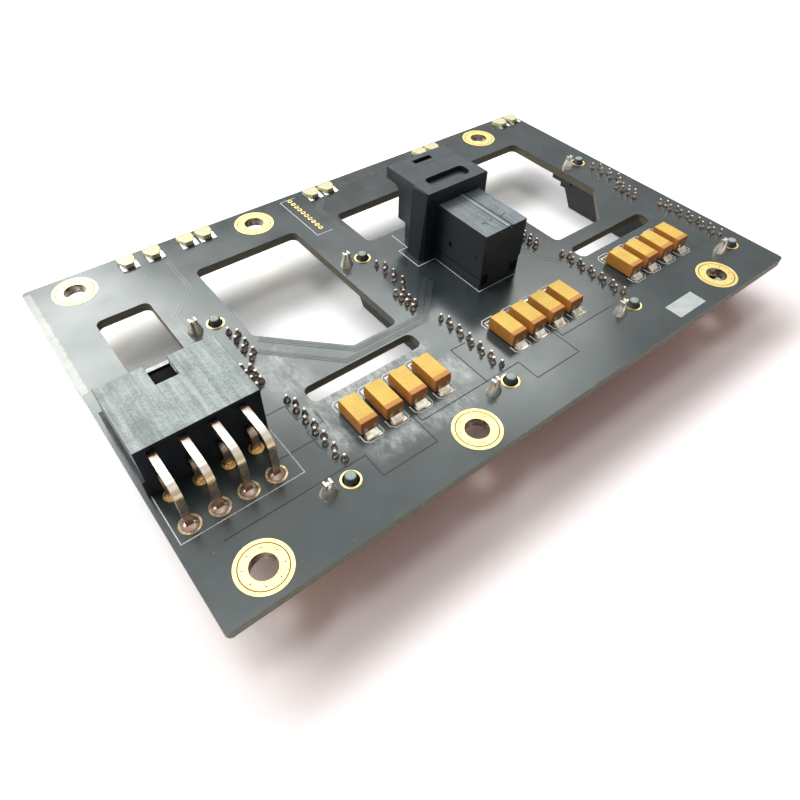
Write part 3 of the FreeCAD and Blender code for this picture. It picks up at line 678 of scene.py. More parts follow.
class Workpiece:
    """One new piece, gathered in a single mesh and then dressed."""

    def __init__(self, name: str) -> None:
        """Start an empty piece with the name that it will have."""
        self.name = name
        self.mesh = bmesh.new()

    def cube(self, low: Vector, high: Vector) -> list:
        """Add a plain block between two corners and return its vertices."""
        place = Matrix.Translation((low + high) / 2) @ Matrix.Diagonal((*(high - low), 1.0))
        return bmesh.ops.create_cube(self.mesh, size=1.0, matrix=place)["verts"]

    def block(self, low: Vector, high: Vector, bevel: float = 0.0) -> None:
        """Add a block between two corners.

        Args:
            low: Lowest corner, in metres.
            high: Highest corner, in metres.
            bevel: Width of the rounded edges in millimetres.
        """
        verts = self.cube(low, high)
        if bevel:
            round_off(self.mesh, list({edge for vert in verts for edge in vert.link_edges}), bevel)

    def wedge(self, low: Vector, high: Vector, slope: Vector, toe: float = 0.12, bevel: float = 0.06) -> None:
        """Add a block whose upper edge on one side is drawn down to a thin toe.

        Args:
            low: Lowest corner.
            high: Highest corner.
            slope: Level direction in which the block thins out.
            toe: Share of the height that is left at the toe.
            bevel: Width of the rounded upper edges in millimetres.
        """
        verts = self.cube(low, high)
        middle = (low + high) / 2
        for vert in verts:
            if vert.co.z > middle.z and (vert.co - middle).dot(slope) > 0:
                vert.co.z = low.z + (high.z - low.z) * toe
        edges = {edge for vert in verts for edge in vert.link_edges}
        upper = [edge for edge in edges if all(vert.co.z > low.z + 1e-6 for vert in edge.verts)]
        round_off(self.mesh, upper, bevel)

    def ribbon(self, points: Path, width: float, height: float, side: Side = Side.TOP) -> None:
        """Lay a flat line on the board, with mitred corners.

        Args:
            points: Places along one of its edges, in millimetres from the front left corner.
            width: Width of the line in millimetres.
            height: How far it stands off the board in millimetres.
            side: Face of the board that it lies on.
        """
        path = bmesh.new()
        level = 0.0 if side is Side.TOP else -THICKNESS - height
        chained(path, (at(x, y, level) for x, y in points), False)
        raised = bmesh.ops.extrude_edge_only(path, edges=path.edges[:])["geom"]
        bmesh.ops.translate(path, vec=mm(0.0, 0.0, height),
                            verts=[part for part in raised if isinstance(part, bmesh.types.BMVert)])
        bmesh.ops.recalc_face_normals(path, faces=path.faces[:])
        bmesh.ops.solidify(path, geom=path.faces[:], thickness=width * MM)
        self.take(path)

    def take(self, other: bmesh.types.BMesh, place: Matrix | None = None) -> None:
        """Copy another mesh into this piece.

        Args:
            other: The mesh, which is freed.
            place: Where it goes, or None to leave it as it is.
        """
        if place is not None:
            bmesh.ops.transform(other, matrix=place, verts=other.verts[:])
        bmesh.ops.recalc_face_normals(other, faces=other.faces[:])
        carrier = bpy.data.meshes.new("carrier")
        other.to_mesh(carrier)
        other.free()
        self.mesh.from_mesh(carrier)
        bpy.data.meshes.remove(carrier)

    def turned(self, profile: Path, centre: Vector, steps: int, closed: bool = False,
               stretch: Sequence[float] = (1.0, 1.0, 1.0)) -> None:
        """Turn a profile about an upright line.

        Args:
            profile: Radii and heights in millimetres, from the centre's level.
            centre: Foot of the turning line.
            steps: Number of facets round.
            closed: Whether the profile is a ring that doesn't meet the line.
            stretch: Scale of the turned form along each axis.
        """
        form = bmesh.new()
        chained(form, (mm(radius, 0.0, level) for radius, level in profile), closed)
        bmesh.ops.spin(form, geom=form.verts[:] + form.edges[:], cent=(0.0, 0.0, 0.0), axis=(0.0, 0.0, 1.0),
                       angle=math.tau, steps=steps, use_merge=True)
        bmesh.ops.remove_doubles(form, verts=form.verts[:], dist=1e-7)
        self.take(form, Matrix.Translation(centre) @ Matrix.Diagonal((*stretch, 1.0)))

    def done(self, finish: Finish, slot: Slot, smooth: float = 40.0, stands_for: Iterable[str] = (),
             even: bool = True) -> bpy.types.Object:
        """Make the object, dress it and let it ride on the board.

        Args:
            finish: What covers it.
            slot: Not used.
            smooth: Sharpest corner in degrees that is shaded smooth.
            stands_for: Solids that it is shown instead of.
            even: Whether its flat faces are shaded flat right up to their rounded edges.

        Returns:
            The finished object.
        """
        data = bpy.data.meshes.new(self.name)
        self.mesh.to_mesh(data)
        self.mesh.free()
        data.shade_smooth()
        data.set_sharp_from_angle(angle=math.radians(smooth))
        piece = bpy.data.objects.new(self.name, data)
        bpy.context.scene.collection.objects.link(piece)
        data.materials.append(finish.build())
        if even:
            level = piece.modifiers.new("even_normals", "WEIGHTED_NORMAL")
            level.keep_sharp = True
            level.weight = 100
        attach(piece, BODY)
        nodes = tuple(stands_for)
        if nodes:
            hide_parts(*nodes)
        LOG.info("%s: %d faces", self.name, len(data.polygons))
        return piece


@dataclass(frozen=True)
class Island:
    """One solid of a node: its box and the middles of its top and its foot."""

    low: Vector
    high: Vector
    tip: Vector
    foot: Vector


def merged(node: str) -> bmesh.types.BMesh:
    """Return a copy of a node's mesh with its doubled vertices merged."""
    mesh = bmesh.new()
    mesh.from_mesh(frame["nodes"][node].data)
    bmesh.ops.remove_doubles(mesh, verts=mesh.verts[:], dist=1e-6)
    return mesh


def corners(points: Sequence[Vector]) -> tuple[Vector, Vector]:
    """Return the lowest and the highest corner of the box round some points."""
    return Vector(map(min, zip(*points))), Vector(map(max, zip(*points)))


def islands(node: str) -> list[Island]:
    """Find the solids of a node.

    Args:
        node: Name of the node.

    Returns:
        One island for each solid, from the left front to the right back.
    """
    mesh = merged(node)
    left = set(mesh.verts)
    found = []
    while left:
        stack = [left.pop()]
        members = []
        while stack:
            vert = stack.pop()
            members.append(vert.co.copy())
            for edge in vert.link_edges:
                other = edge.other_vert(vert)
                if other in left:
                    left.remove(other)
                    stack.append(other)
        low, high = corners(members)
        tip, foot = (corners([p for p in members if abs(p.z - level) < 1e-5]) for level in (high.z, low.z))
        found.append(Island(low, high, sum(tip, Vector()) / 2, sum(foot, Vector()) / 2))
    mesh.free()
    return sorted(found, key=lambda one: (round(one.low.x, 5), round(one.low.y, 5)))


def softened(node: str, width: float, finish: Finish, slot: Slot, shortest: float = 0.3,
             even: bool = True) -> bpy.types.Object:
    """Show a node with small rounded edges.

    Args:
        node: Name of the node, which the new piece stands for.
        width: Width of the rounding in millimetres.
        finish: What covers the piece.
        slot: Its material slot in the record.
        shortest: Length in millimetres under which an edge stays sharp.
        even: Whether its flat faces are shaded flat right up to their rounded edges.

    Returns:
        The finished object.
    """
    piece = Workpiece(node + "_form")
    piece.mesh.free()
    piece.mesh = mesh = merged(node)
    bmesh.ops.dissolve_limit(mesh, angle_limit=math.radians(1.0), verts=mesh.verts[:], edges=mesh.edges[:])
    sharp = [edge for edge in mesh.edges if len(edge.link_faces) == 2 and edge.is_convex
             and edge.calc_face_angle() > math.radians(30.0) and edge.calc_length() > shortest * MM]
    round_off(mesh, sharp, width, clamp=True)
    return piece.done(finish, slot, stands_for=[node], even=even)


def domed(outline: Path, radius: float, tall: float) -> list[Point]:
    """Scale a solder joint's outline, given in shares of its radius and in millimetres of height."""
    return [(radius * share, tall * level) for share, level in outline]


@dataclass(frozen=True)
class DriveSocket:
    """One drive socket under the board, with its solder joints and peg lands on top."""

    number: int
    joint_radius: float = 0.58
    joint_dome: Path = ((0.86, 0.34), (0.62, 0.56))
    post_height: float = 1.3
    tip_drop: float = 0.2
    lock_radius: float = 1.2
    lock_dome: Path = ((0.84, 0.28), (0.68, 0.48), (0.52, 0.68), (0.38, 0.84), (0.2, 0.93), (0.0, 0.96))
    lock_stretch: tuple[float, float, float] = (1.12, 0.95, 1.0)
    peg_hole: float = 1.25
    peg_land: float = 1.55
    lock_to_peg: float = 3.55

    @property
    def name(self) -> str:
        """Return the start of its nodes' names."""
        return "drive_socket_%d" % self.number

    def joints(self, chance: random.Random) -> None:
        """Add a solder cone to every post.

        Args:
            chance: Source of the small differences between the cones.
        """
        solder = Workpiece(self.name + "_joints")
        tips = Workpiece(self.name + "_post_tips")
        top = self.post_height
        waist = top - self.tip_drop
        tip = [(0.24, waist), (0.23, top - 0.06), (0.12, top + 0.03), (0.0, top + 0.05)]
        for kind in ("power", "signal"):
            for post in islands("%s_%s_contacts" % (self.name, kind)):
                foot = Vector((post.tip.x, post.tip.y, BOARD_HIGH.z))
                r = self.joint_radius * chance.uniform(0.88, 1.1)
                tall = chance.uniform(0.85, 1.15)
                cone = [(r * 0.95, 0.0), (r, 0.12), *domed(self.joint_dome, r, tall), (0.3, 0.78 * tall),
                        (0.25, waist), (0.0, waist)]
                solder.turned(cone, foot, 10)
                tips.turned(tip, foot, 8)
        solder.done(Finishes.JOINT, Slot.TIN, smooth=JOINT_SMOOTH)
        tips.done(Finishes.BRIGHT, Slot.TIN, smooth=JOINT_SMOOTH)

    def locks_and_pegs(self, chance: random.Random) -> None:
        """Add the solder on the board locks and the lands round the pegs.

        Args:
            chance: Source of the small differences between the joints.
        """
        solder = Workpiece(self.name + "_lock_joints")
        lands = Workpiece(self.name + "_peg_lands")
        r = self.lock_radius
        hole, land = self.peg_hole, self.peg_land
        ring = [(hole, 0.0), (land, 0.0), (land - 0.02, 0.04), (hole, 0.04)]
        for lock in islands(self.name + "_board_locks"):
            foot = Vector((lock.tip.x, lock.tip.y, BOARD_HIGH.z))
            tall = (lock.high.z - BOARD_HIGH.z) / MM * chance.uniform(0.96, 1.02)
            profile = [(r, 0.0), (r * 0.96, 0.14), *domed(self.lock_dome, r, tall)]
            solder.turned(profile, foot, 16, stretch=self.lock_stretch)
            lands.turned(ring, foot + mm(self.lock_to_peg, 0.0), 32, closed=True)
        solder.done(Finishes.LOCKED, Slot.TIN, smooth=JOINT_SMOOTH)
        lands.done(Finishes.GOLD, Slot.CONTACT)

    def build(self) -> None:
        """Build and dress the whole socket."""
        chance = random.Random(40 + self.number)
        softened(self.name + "_housing", 0.12, Finishes.SOCKET, Slot.SOCKET, shortest=0.6)
        self.joints(chance)
        self.locks_and_pegs(chance)


@dataclass(frozen=True)
class PowerHeader:
    """The right-angle power header with its eight blades and their joints."""

    land_radius: float = 1.55
    joint_radius: float = 1.25
    joint_dome: Path = ((0.85, 0.24), (0.7, 0.42))
    lower_share: float = 0.72
    under_share: float = 0.8
    notch_left: float = 8.1
    notch_width: float = 3.4
    notch_length: float = 4.2
    mouth: float = 35.4
    floor_drop: float = 1.12
    catch_drop: float = 0.8
    catch_width: float = 0.8
    floor_gap: float = 0.02
    floor_thickness: float = 0.1
    catch_edge: float = 0.05
    catch_back: float = 0.03
    catch_skin: float = 0.02

    def joints(self) -> None:
        """Add the lands and the solder round the blades, on both faces."""
        chance = random.Random(7)
        for row, share, finish, plating in (
            ("lower", self.lower_share, Finishes.COPPERY, Finishes.GOLD),
            ("upper", 1.0, Finishes.FLUXED, Finishes.FLUX_AND_SHADE_LAND),
        ):
            lands = Workpiece("power_header_%s_lands" % row)
            solder = Workpiece("power_header_%s_joints" % row)
            r, outer = self.joint_radius * share, self.land_radius * share
            ring = [(0.0, 0.0), (outer, 0.0), (outer - 0.03, 0.04), (0.0, 0.04)]
            for blade in islands("power_header_%s_blades" % row):
                for side, level, size in ((Side.TOP, BOARD_HIGH.z, 1.0),
                                          (Side.UNDER, BOARD_LOW.z, self.under_share)):
                    foot = Vector((blade.foot.x, blade.foot.y, level))
                    flip = (1.0, 1.0, float(side.value))
                    tall = chance.uniform(0.8, 1.1) * size
                    dome = [(r, 0.0), (r * 0.97, 0.1), *domed(self.joint_dome, r, tall), (0.62, 0.56 * tall),
                            (0.4, 0.64 * tall), (0.0, 0.66 * tall)]
                    solder.turned(dome, foot, 20, stretch=flip)
                    lands.turned(ring, foot, 32, stretch=flip)
            solder.done(finish, Slot.TIN, smooth=JOINT_SMOOTH)
            lands.done(plating, Slot.CONTACT)

    def notch(self) -> None:
        """Close the notch's floor over the cavities in a near-black finish of painted shade, and lay a pale
        sheet of painted highlight on the top of the catch behind it.
        """
        corner = at(self.notch_left, self.mouth)
        corner.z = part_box("power_header_housing")[1].z
        # painted shade: the floor takes the near-black finish
        floor = Workpiece("power_header_notch_floor")
        gap, edge = self.floor_gap, self.catch_edge
        floor.block(corner + mm(gap, -self.notch_length, -self.floor_drop - self.floor_thickness),
                    corner + mm(self.notch_width - gap, -self.catch_width - gap, -self.floor_drop))
        floor.done(Finishes.PAINTED_SHADE, Slot.HEADER)
        # painted highlight: a pale sheet on the catch's top
        catch = Workpiece("power_header_catch_top")
        catch.block(corner + mm(edge, edge - self.catch_width, -self.catch_drop - self.catch_skin),
                    corner + mm(self.notch_width - edge, -self.catch_back, self.catch_skin - self.catch_drop))
        catch.done(Finishes.CATCH_HIGHLIGHT, Slot.HEADER)

    def build(self) -> None:
        """Build and dress the header."""
        self.notch()
        softened("power_header_housing", 0.16, Finishes.HEADER, Slot.HEADER)
        for row in ("lower", "upper"):
            softened("power_header_%s_blades" % row, 0.12, Finishes.BLADE, Slot.BLADE, even=False)
        self.joints()


@dataclass(frozen=True)
class DataPort:
    """The hooded data port with its rear cover.

    The marks, near-black patches of painted shade at small pockets, steps and grooves, are places and sizes
    in
    millimetres: left, front, width and depth on the top; left, bottom, width and height at the rear; front,
    bottom, depth and height on the left side. Each pocket of the hood has its half width, front, back and
    depth.
    """

    ridge: float = 0.15
    proud: float = 0.02
    top_shade_marks: Sequence[tuple[float, ...]] = (
        (1.95, 3.2, 0.95, 0.16), (2.75, 2.5, 0.16, 0.75), (3.95, 3.1, 0.26, 0.26), (6.9, 3.3, 0.75, 0.16),
        (6.4, 2.9, 0.2, 0.5))
    rear_shade_marks: Sequence[tuple[float, ...]] = (
        (0.35, 0.5, 1.5, 2.3), (7.3, 0.6, 1.7, 1.9), (0.5, 4.8, 0.12, 3.0), (2.2, 0.35, 4.8, 0.14))
    left_shade_marks: Sequence[tuple[float, ...]] = (
        (7.9, 4.4, 0.8, 0.9), (0.4, 1.9, 11.4, 0.12), (1.5, 5.7, 0.4, 0.4))
    pockets: Sequence[tuple[float, ...]] = ((4.35, 1.45, 4.35, 0.95), (1.95, 9.45, 10.55, 0.7))

    def marks(self) -> None:
        """Add the near-black marks of painted shade at the small pockets, steps and grooves of the cover's
        top, rear and left side, and the pockets' floors.
        """
        low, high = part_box("data_port_cover")
        marks = Workpiece("data_port_shade_marks")
        for left, front, wide, deep in self.top_shade_marks:
            corner = Vector((low.x, low.y, high.z)) + mm(left, front, -self.ridge)
            marks.block(corner - mm(0.0, 0.0, 0.1), corner + mm(wide, deep, 0.015))
        for left, bottom, wide, tall in self.rear_shade_marks:
            corner = low + mm(left, -self.proud, bottom)
            marks.block(corner, corner + mm(wide, 0.1, tall))
        for front, bottom, deep, tall in self.left_shade_marks:
            corner = low + mm(-self.proud, front, bottom)
            marks.block(corner, corner + mm(0.1, deep, tall))
        marks.done(Finishes.PAINTED_SHADE, Slot.PORT)
        floors = Workpiece("data_port_pocket_floors")
        low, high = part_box("data_port_shroud")
        middle = Vector(((low.x + high.x) / 2, low.y, high.z))
        for half, front, back, drop in self.pockets:
            floors.block(middle + mm(-half, front, -drop - 0.2), middle + mm(half, back, -drop), bevel=0.2)
        floors.done(Finishes.POCKET, Slot.PORT)

    def build(self) -> None:
        """Build and dress the port."""
        softened("data_port_shroud", 0.18, Finishes.PORT, Slot.PORT)
        softened("data_port_cover", 0.14, Finishes.COVER, Slot.PORT)
        self.marks()


@dataclass(frozen=True)
class CapacitorRow:
    """One row of four moulded capacitors with pads, solder and printed outlines.

    The pads and the solder reach from one distance to another outwards from the end of the moulding.
    """

    letter: str
    pad_half: float = 1.2
    pad_reach: Point = (-1.3, 1.25)
    solder_share: float = 0.88
    solder_reach: Point = (0.1, 1.05)
    solder_levels: Point = (0.04, 0.62)
    outline_half: float = 1.8
    outline_front: float = 11.9
    outline_back: float = 21.4
    outline_length: float = 2.0
    outline_width: float = 0.16
    chamfer: float = 0.7

    def build(self) -> None:
        """Build and dress the row."""
        names = ["capacitor_%s%d" % (self.letter, number) for number in range(1, 5)]
        for name in names:
            softened(name, 0.14, Finishes.RESIN, Slot.RESIN)
        pads, solder, outlines = (Workpiece("capacitor_%s_%s" % (self.letter, part))
                                  for part in ("pads", "joints", "outlines"))
        for name in names:
            low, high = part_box(name)
            x = (low.x + high.x) / 2
            for end, way in ((low.y, -1.0), (high.y, 1.0)):
                foot = Vector((x, end, BOARD_HIGH.z))
                near, far = sorted(way * reach for reach in self.pad_reach)
                pads.block(foot + mm(-self.pad_half, near), foot + mm(self.pad_half, far, LAND))
                near, far = sorted(way * reach for reach in self.solder_reach)
                half = self.pad_half * self.solder_share
                bottom, top = self.solder_levels
                solder.wedge(foot + mm(-half, near, bottom), foot + mm(half, far, top),
                             Vector((0.0, way, 0.0)))
            self.outline(outlines, (x - BOARD_LOW.x) / MM)
        pads.done(Finishes.SOLDER, Slot.TIN)
        solder.done(Finishes.SOLDER, Slot.TIN)
        outlines.done(Finishes.INK, Slot.NONE)

    def outline(self, piece: Workpiece, x: float) -> None:
        """Print the two open outlines round the ends of one capacitor.

        Args:
            piece: The printed lines.
            x: Middle of the capacitor from the left edge in millimetres.
        """
        half, cut = self.outline_half, self.chamfer
        for end, way in ((self.outline_front, 1.0), (self.outline_back, -1.0)):
            inner = end + way * self.outline_length
            piece.ribbon([(x - half, inner), (x - half, end + way * cut), (x - half + cut, end),
                          (x + half - cut, end), (x + half, end + way * cut), (x + half, inner)],
                         self.outline_width, INK_HEIGHT)


@dataclass(frozen=True)
class EdgeLights:
    """The row of lights at the back edge with their pads."""

    count: int = 10
    pad_inset: float = 0.5
    pad_half: float = 0.4
    pad_reach: Point = (-0.75, 1.2)

    def build(self) -> None:
        """Build and dress the lights."""
        pads = Workpiece("edge_light_pads")
        near, far = self.pad_reach
        for number in range(1, self.count + 1):
            name = "edge_light_%d" % number
            softened(name, 0.1, Finishes.LIGHT, Slot.LIGHT)
            low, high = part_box(name)
            for x in (low.x + self.pad_inset * MM, high.x - self.pad_inset * MM):
                foot = Vector((x, low.y, BOARD_HIGH.z))
                pads.block(foot + mm(-self.pad_half, near), foot + mm(self.pad_half, far, LAND))
        pads.done(Finishes.SOLDER, Slot.CONTACT)


@dataclass(frozen=True)
class MountingLand:
    """Plated lands and barrels of the six mounting holes."""

    columns: tuple[float, ...] = (7.6, 42.7, 102.9)
    rows: tuple[float, ...] = (4.7, 69.3)
    hole: float = 1.9
    outer: float = 3.8
    groove: float = 3.2
    via_circle: float = 2.62
    vias: int = 8
    steps: int = 72

    def build(self) -> None:
        """Build and dress the lands."""
        metal, groove, via_shades, barrels = map(Workpiece, (
            "mounting_lands", "mounting_land_grooves", "mounting_land_via_shades", "mounting_barrels"))
        under, hole, outer, cut = -THICKNESS, self.hole, self.outer, self.groove
        rings = (
            (metal, [(hole, under - LAND), (outer, under - LAND), (outer, under), (hole, under)]),
            (metal, [(hole, 0.0), (outer, 0.0), (outer, LAND), (cut + 0.1, LAND), (cut + 0.08, 0.02),
                     (cut - 0.08, 0.02), (cut - 0.1, LAND), (hole, LAND)]),
            (barrels, [(hole - 0.03, under + 0.02), (hole, under + 0.02), (hole, -0.02),
                       (hole - 0.03, -0.02)]),
            (groove, [(cut - 0.09, 0.015), (cut + 0.09, 0.015), (cut + 0.09, 0.03), (cut - 0.09, 0.03)]),
        )
        # via holes: small near-black discs of painted shade on the lands
        dot = [(0.0, 0.0), (0.12, 0.0), (0.11, 0.058), (0.0, 0.058)]
        for centre in (at(x, y) for x in self.columns for y in self.rows):
            for piece, profile in rings:
                piece.turned(profile, centre, self.steps, closed=True)
            for number in range(self.vias):
                angle = math.tau * (number + 0.5) / self.vias
                via_shades.turned(dot, centre + mm(math.cos(angle), math.sin(angle)) * self.via_circle, 10)
        for piece, finish in ((metal, Finishes.GOLD), (barrels, Finishes.BARREL), (groove, Finishes.GROOVE),
                              (via_shades, Finishes.PAINTED_SHADE)):
            piece.done(finish, Slot.CONTACT)


@dataclass(frozen=True)
class Print:
    """White printed lines and a block of the upper face."""

    paths: Sequence[Path] = (
        ((0.9, 22.4), (0.9, 13.3), (19.0, 13.3), (19.0, 22.4)),
        ((62.0, 50.0), (62.0, 45.3), (60.0, 45.3), (60.0, 39.3), (64.0, 39.3), (64.0, 27.2), (73.6, 27.2),
         (73.6, 28.6)),
        ((54.0, 58.5), (50.5, 58.5), (50.5, 72.6), (54.0, 72.6)))
    block_corner: Point = (87.3, 1.4)
    block_end: Point = (94.6, 4.7)

    def build(self) -> None:
        """Lay every printed line and the block."""
        lines = Workpiece("printed_lines")
        for points in self.paths:
            lines.ribbon(points, INK_WIDTH, INK_HEIGHT)
        lines.done(Finishes.INK, Slot.NONE)
        blocks = Workpiece("printed_blocks")
        blocks.block(at(*self.block_corner), at(*self.block_end, 0.03))
        blocks.done(Finishes.LABEL, Slot.NONE)


def offset_line(points: Path, shift: float) -> list[Point]:
    """Move a line sideways, keeping its corners mitred.

    Args:
        points: Places along the line.
        shift: Distance to the left of its direction.

    Returns:
        The moved places.
    """
    moved = []
    for i, (x, y) in enumerate(points):
        before, after = points[max(i - 1, 0)], points[min(i + 1, len(points) - 1)]
        first, second = Vector((x - before[0], y - before[1])), Vector((after[0] - x, after[1] - y))
        first = first if first.length > 0 else second
        second = second if second.length > 0 else first
        normal, other = (Vector((-way.y, way.x)) for way in (first.normalized(), second.normalized()))
        mitre = normal + other
        mitre = mitre * (shift / max(mitre.dot(normal), 0.2))
        moved.append((x + mitre.x, y + mitre.y))
    return moved


@dataclass(frozen=True)
class Tracks:
    """Masked copper lines and the gaps of the plane under the lacquer."""

    width: float = 0.26
    pitch: float = 0.5
    height: float = 0.03
    fine_width: float = 0.17
    fine_pitch: float = 0.31
    bed_width: float = 0.98
    gap_width: float = 0.17
    gap_height: float = 0.012
    fine_paths: Sequence[Path] = (
        ((26.9, 39.75), (38.2, 28.45), (51.4, 28.45), (59.0, 36.05)),
        ((25.3, 37.45), (35.55, 27.2), (51.7, 27.2), (59.3, 34.8)))
    paths: Sequence[tuple[int, Path]] = (
        (2, ((23.5, 68.0), (23.5, 58.5), (18.0, 53.0), (18.0, 45.5))),
        (3, ((56.0, 53.5), (56.0, 66.0), (60.5, 70.5), (80.0, 70.5))),
        (3, ((80.0, 45.0), (80.0, 27.5), (84.0, 23.5), (84.0, 19.0))))
    under_starts: Sequence[float] = (31.0, 61.1, 91.2)
    under_paths: Sequence[tuple[int, Path]] = (
        (3, ((0.0, 4.5), (5.0, 4.5), (7.5, 7.0), (14.0, 7.0))),
        (4, ((0.0, 64.5), (7.0, 64.5), (10.0, 67.5), (15.0, 67.5))))
    gap_paths: Sequence[Path] = (
        ((5.4, 10.6), (27.0, 10.6), (27.0, 6.4), (36.75, 6.4), (36.75, 12.4)),
        ((37.3, 12.6), (37.3, 10.6), (57.1, 10.6), (57.1, 6.4), (66.9, 6.4), (66.9, 12.4)),
        ((67.45, 12.6), (67.45, 10.6), (80.1, 10.6)),
        ((50.2, 10.6), (50.2, 19.3), (53.3, 19.2)),
        ((12.0, 17.3), (22.8, 17.3)),
        ((18.9, 25.0), (22.8, 25.0), (22.8, 21.6), (24.2, 21.6)),
        ((25.9, 21.9), (25.9, 19.2), (25.2, 19.2)),
        ((23.8, 19.1), (22.8, 19.1), (22.8, 15.2), (23.6, 15.2)))

    def bundle(self, piece: Workpiece, points: Path, count: int, side: Side = Side.TOP) -> None:
        """Lay several parallel lines.

        Args:
            piece: The lines.
            points: Places along the first one.
            count: Number of lines.
            side: Face of the board.
        """
        for number in range(count):
            piece.ribbon(offset_line(points, number * self.pitch), self.width, self.height, side)

    def fine_run(self, piece: Workpiece, bed: Workpiece, points: Path) -> None:
        """Lay three fine lines on a darker bed.

        Args:
            piece: The lines.
            bed: The gap in the plane that they run in.
            points: Places along the middle one.
        """
        edge = offset_line(points, (self.fine_width - self.bed_width) / 2)
        bed.ribbon(edge, self.bed_width, self.gap_height)
        for number in (-1, 0, 1):
            piece.ribbon(offset_line(points, number * self.fine_pitch), self.fine_width, self.height)

    def build(self) -> None:
        """Lay every track and gap."""
        top, under, gaps = map(Workpiece, ("tracks_upper", "tracks_under", "plane_gaps"))
        for points in self.fine_paths:
            self.fine_run(top, gaps, points)
        for count, points in self.paths:
            self.bundle(top, points, count)
        top.done(Finishes.TRACK, Slot.LAMINATE)
        for start in self.under_starts:
            for count, points in self.under_paths:
                self.bundle(under, [(start + x, y) for x, y in points], count, Side.UNDER)
        under.done(Finishes.TRACK, Slot.LAMINATE)
        for points in self.gap_paths:
            gaps.ribbon(points, self.gap_width, self.gap_height)
        gaps.done(Finishes.GAP, Slot.LAMINATE)


@dataclass(frozen=True)
class ServiceRow:
    """The short row of plated holes beside the second drive socket."""

    x: float = 52.5
    last: float = 71.9
    pitch: float = 1.27
    count: int = 10
    ring: Path = ((0.26, 0.0), (0.5, 0.0), (0.47, 0.06), (0.3, 0.09), (0.26, 0.06))
    # a dark disc of painted shade closing each hole at the board's face
    floor: Path = ((0.0, 0.0), (0.27, 0.0), (0.26, 0.02), (0.0, 0.02))

    def build(self) -> None:
        """Build and dress the row."""
        rings = Workpiece("service_row_lands")
        # painted shade in each hole
        holes = Workpiece("service_row_hole_shades")
        for number in range(self.count):
            centre = at(self.x, self.last - number * self.pitch)
            rings.turned(self.ring, centre, 20, closed=True)
            holes.turned(self.floor, centre, 12)
        rings.done(Finishes.GOLD, Slot.CONTACT)
        holes.done(Finishes.PAINTED_SHADE, Slot.CONTACT)


@dataclass(frozen=True)
class Lamp:
    """A soft rectangular lamp that faces the board.

    Its azimuth runs from the right round to the back, and its elevation is taken from the floor, both in
    degrees. The distance and the size are in metres, and a radiance of 1 is white.
    """

    name: str
    azimuth: float
    elevation: float
    distance: float
    size: Point
    radiance: float

    def hang(self) -> None:
        """Hang the lamp."""
        light = bpy.data.lights.new(self.name, "AREA")
        light.shape = "RECTANGLE"
        light.size, light.size_y = self.size
        light.energy = self.radiance * math.pi * self.size[0] * self.size[1]
        lamp = bpy.data.objects.new(self.name, light)
        turn, rise = math.radians(self.azimuth), math.radians(self.elevation)
        away = Vector((math.cos(turn) * math.cos(rise), math.sin(turn) * math.cos(rise), math.sin(rise)))
        lamp.location = away * self.distance
        lamp.rotation_euler = away.to_track_quat("Z", "Y").to_euler()
        bpy.context.scene.collection.objects.link(lamp)


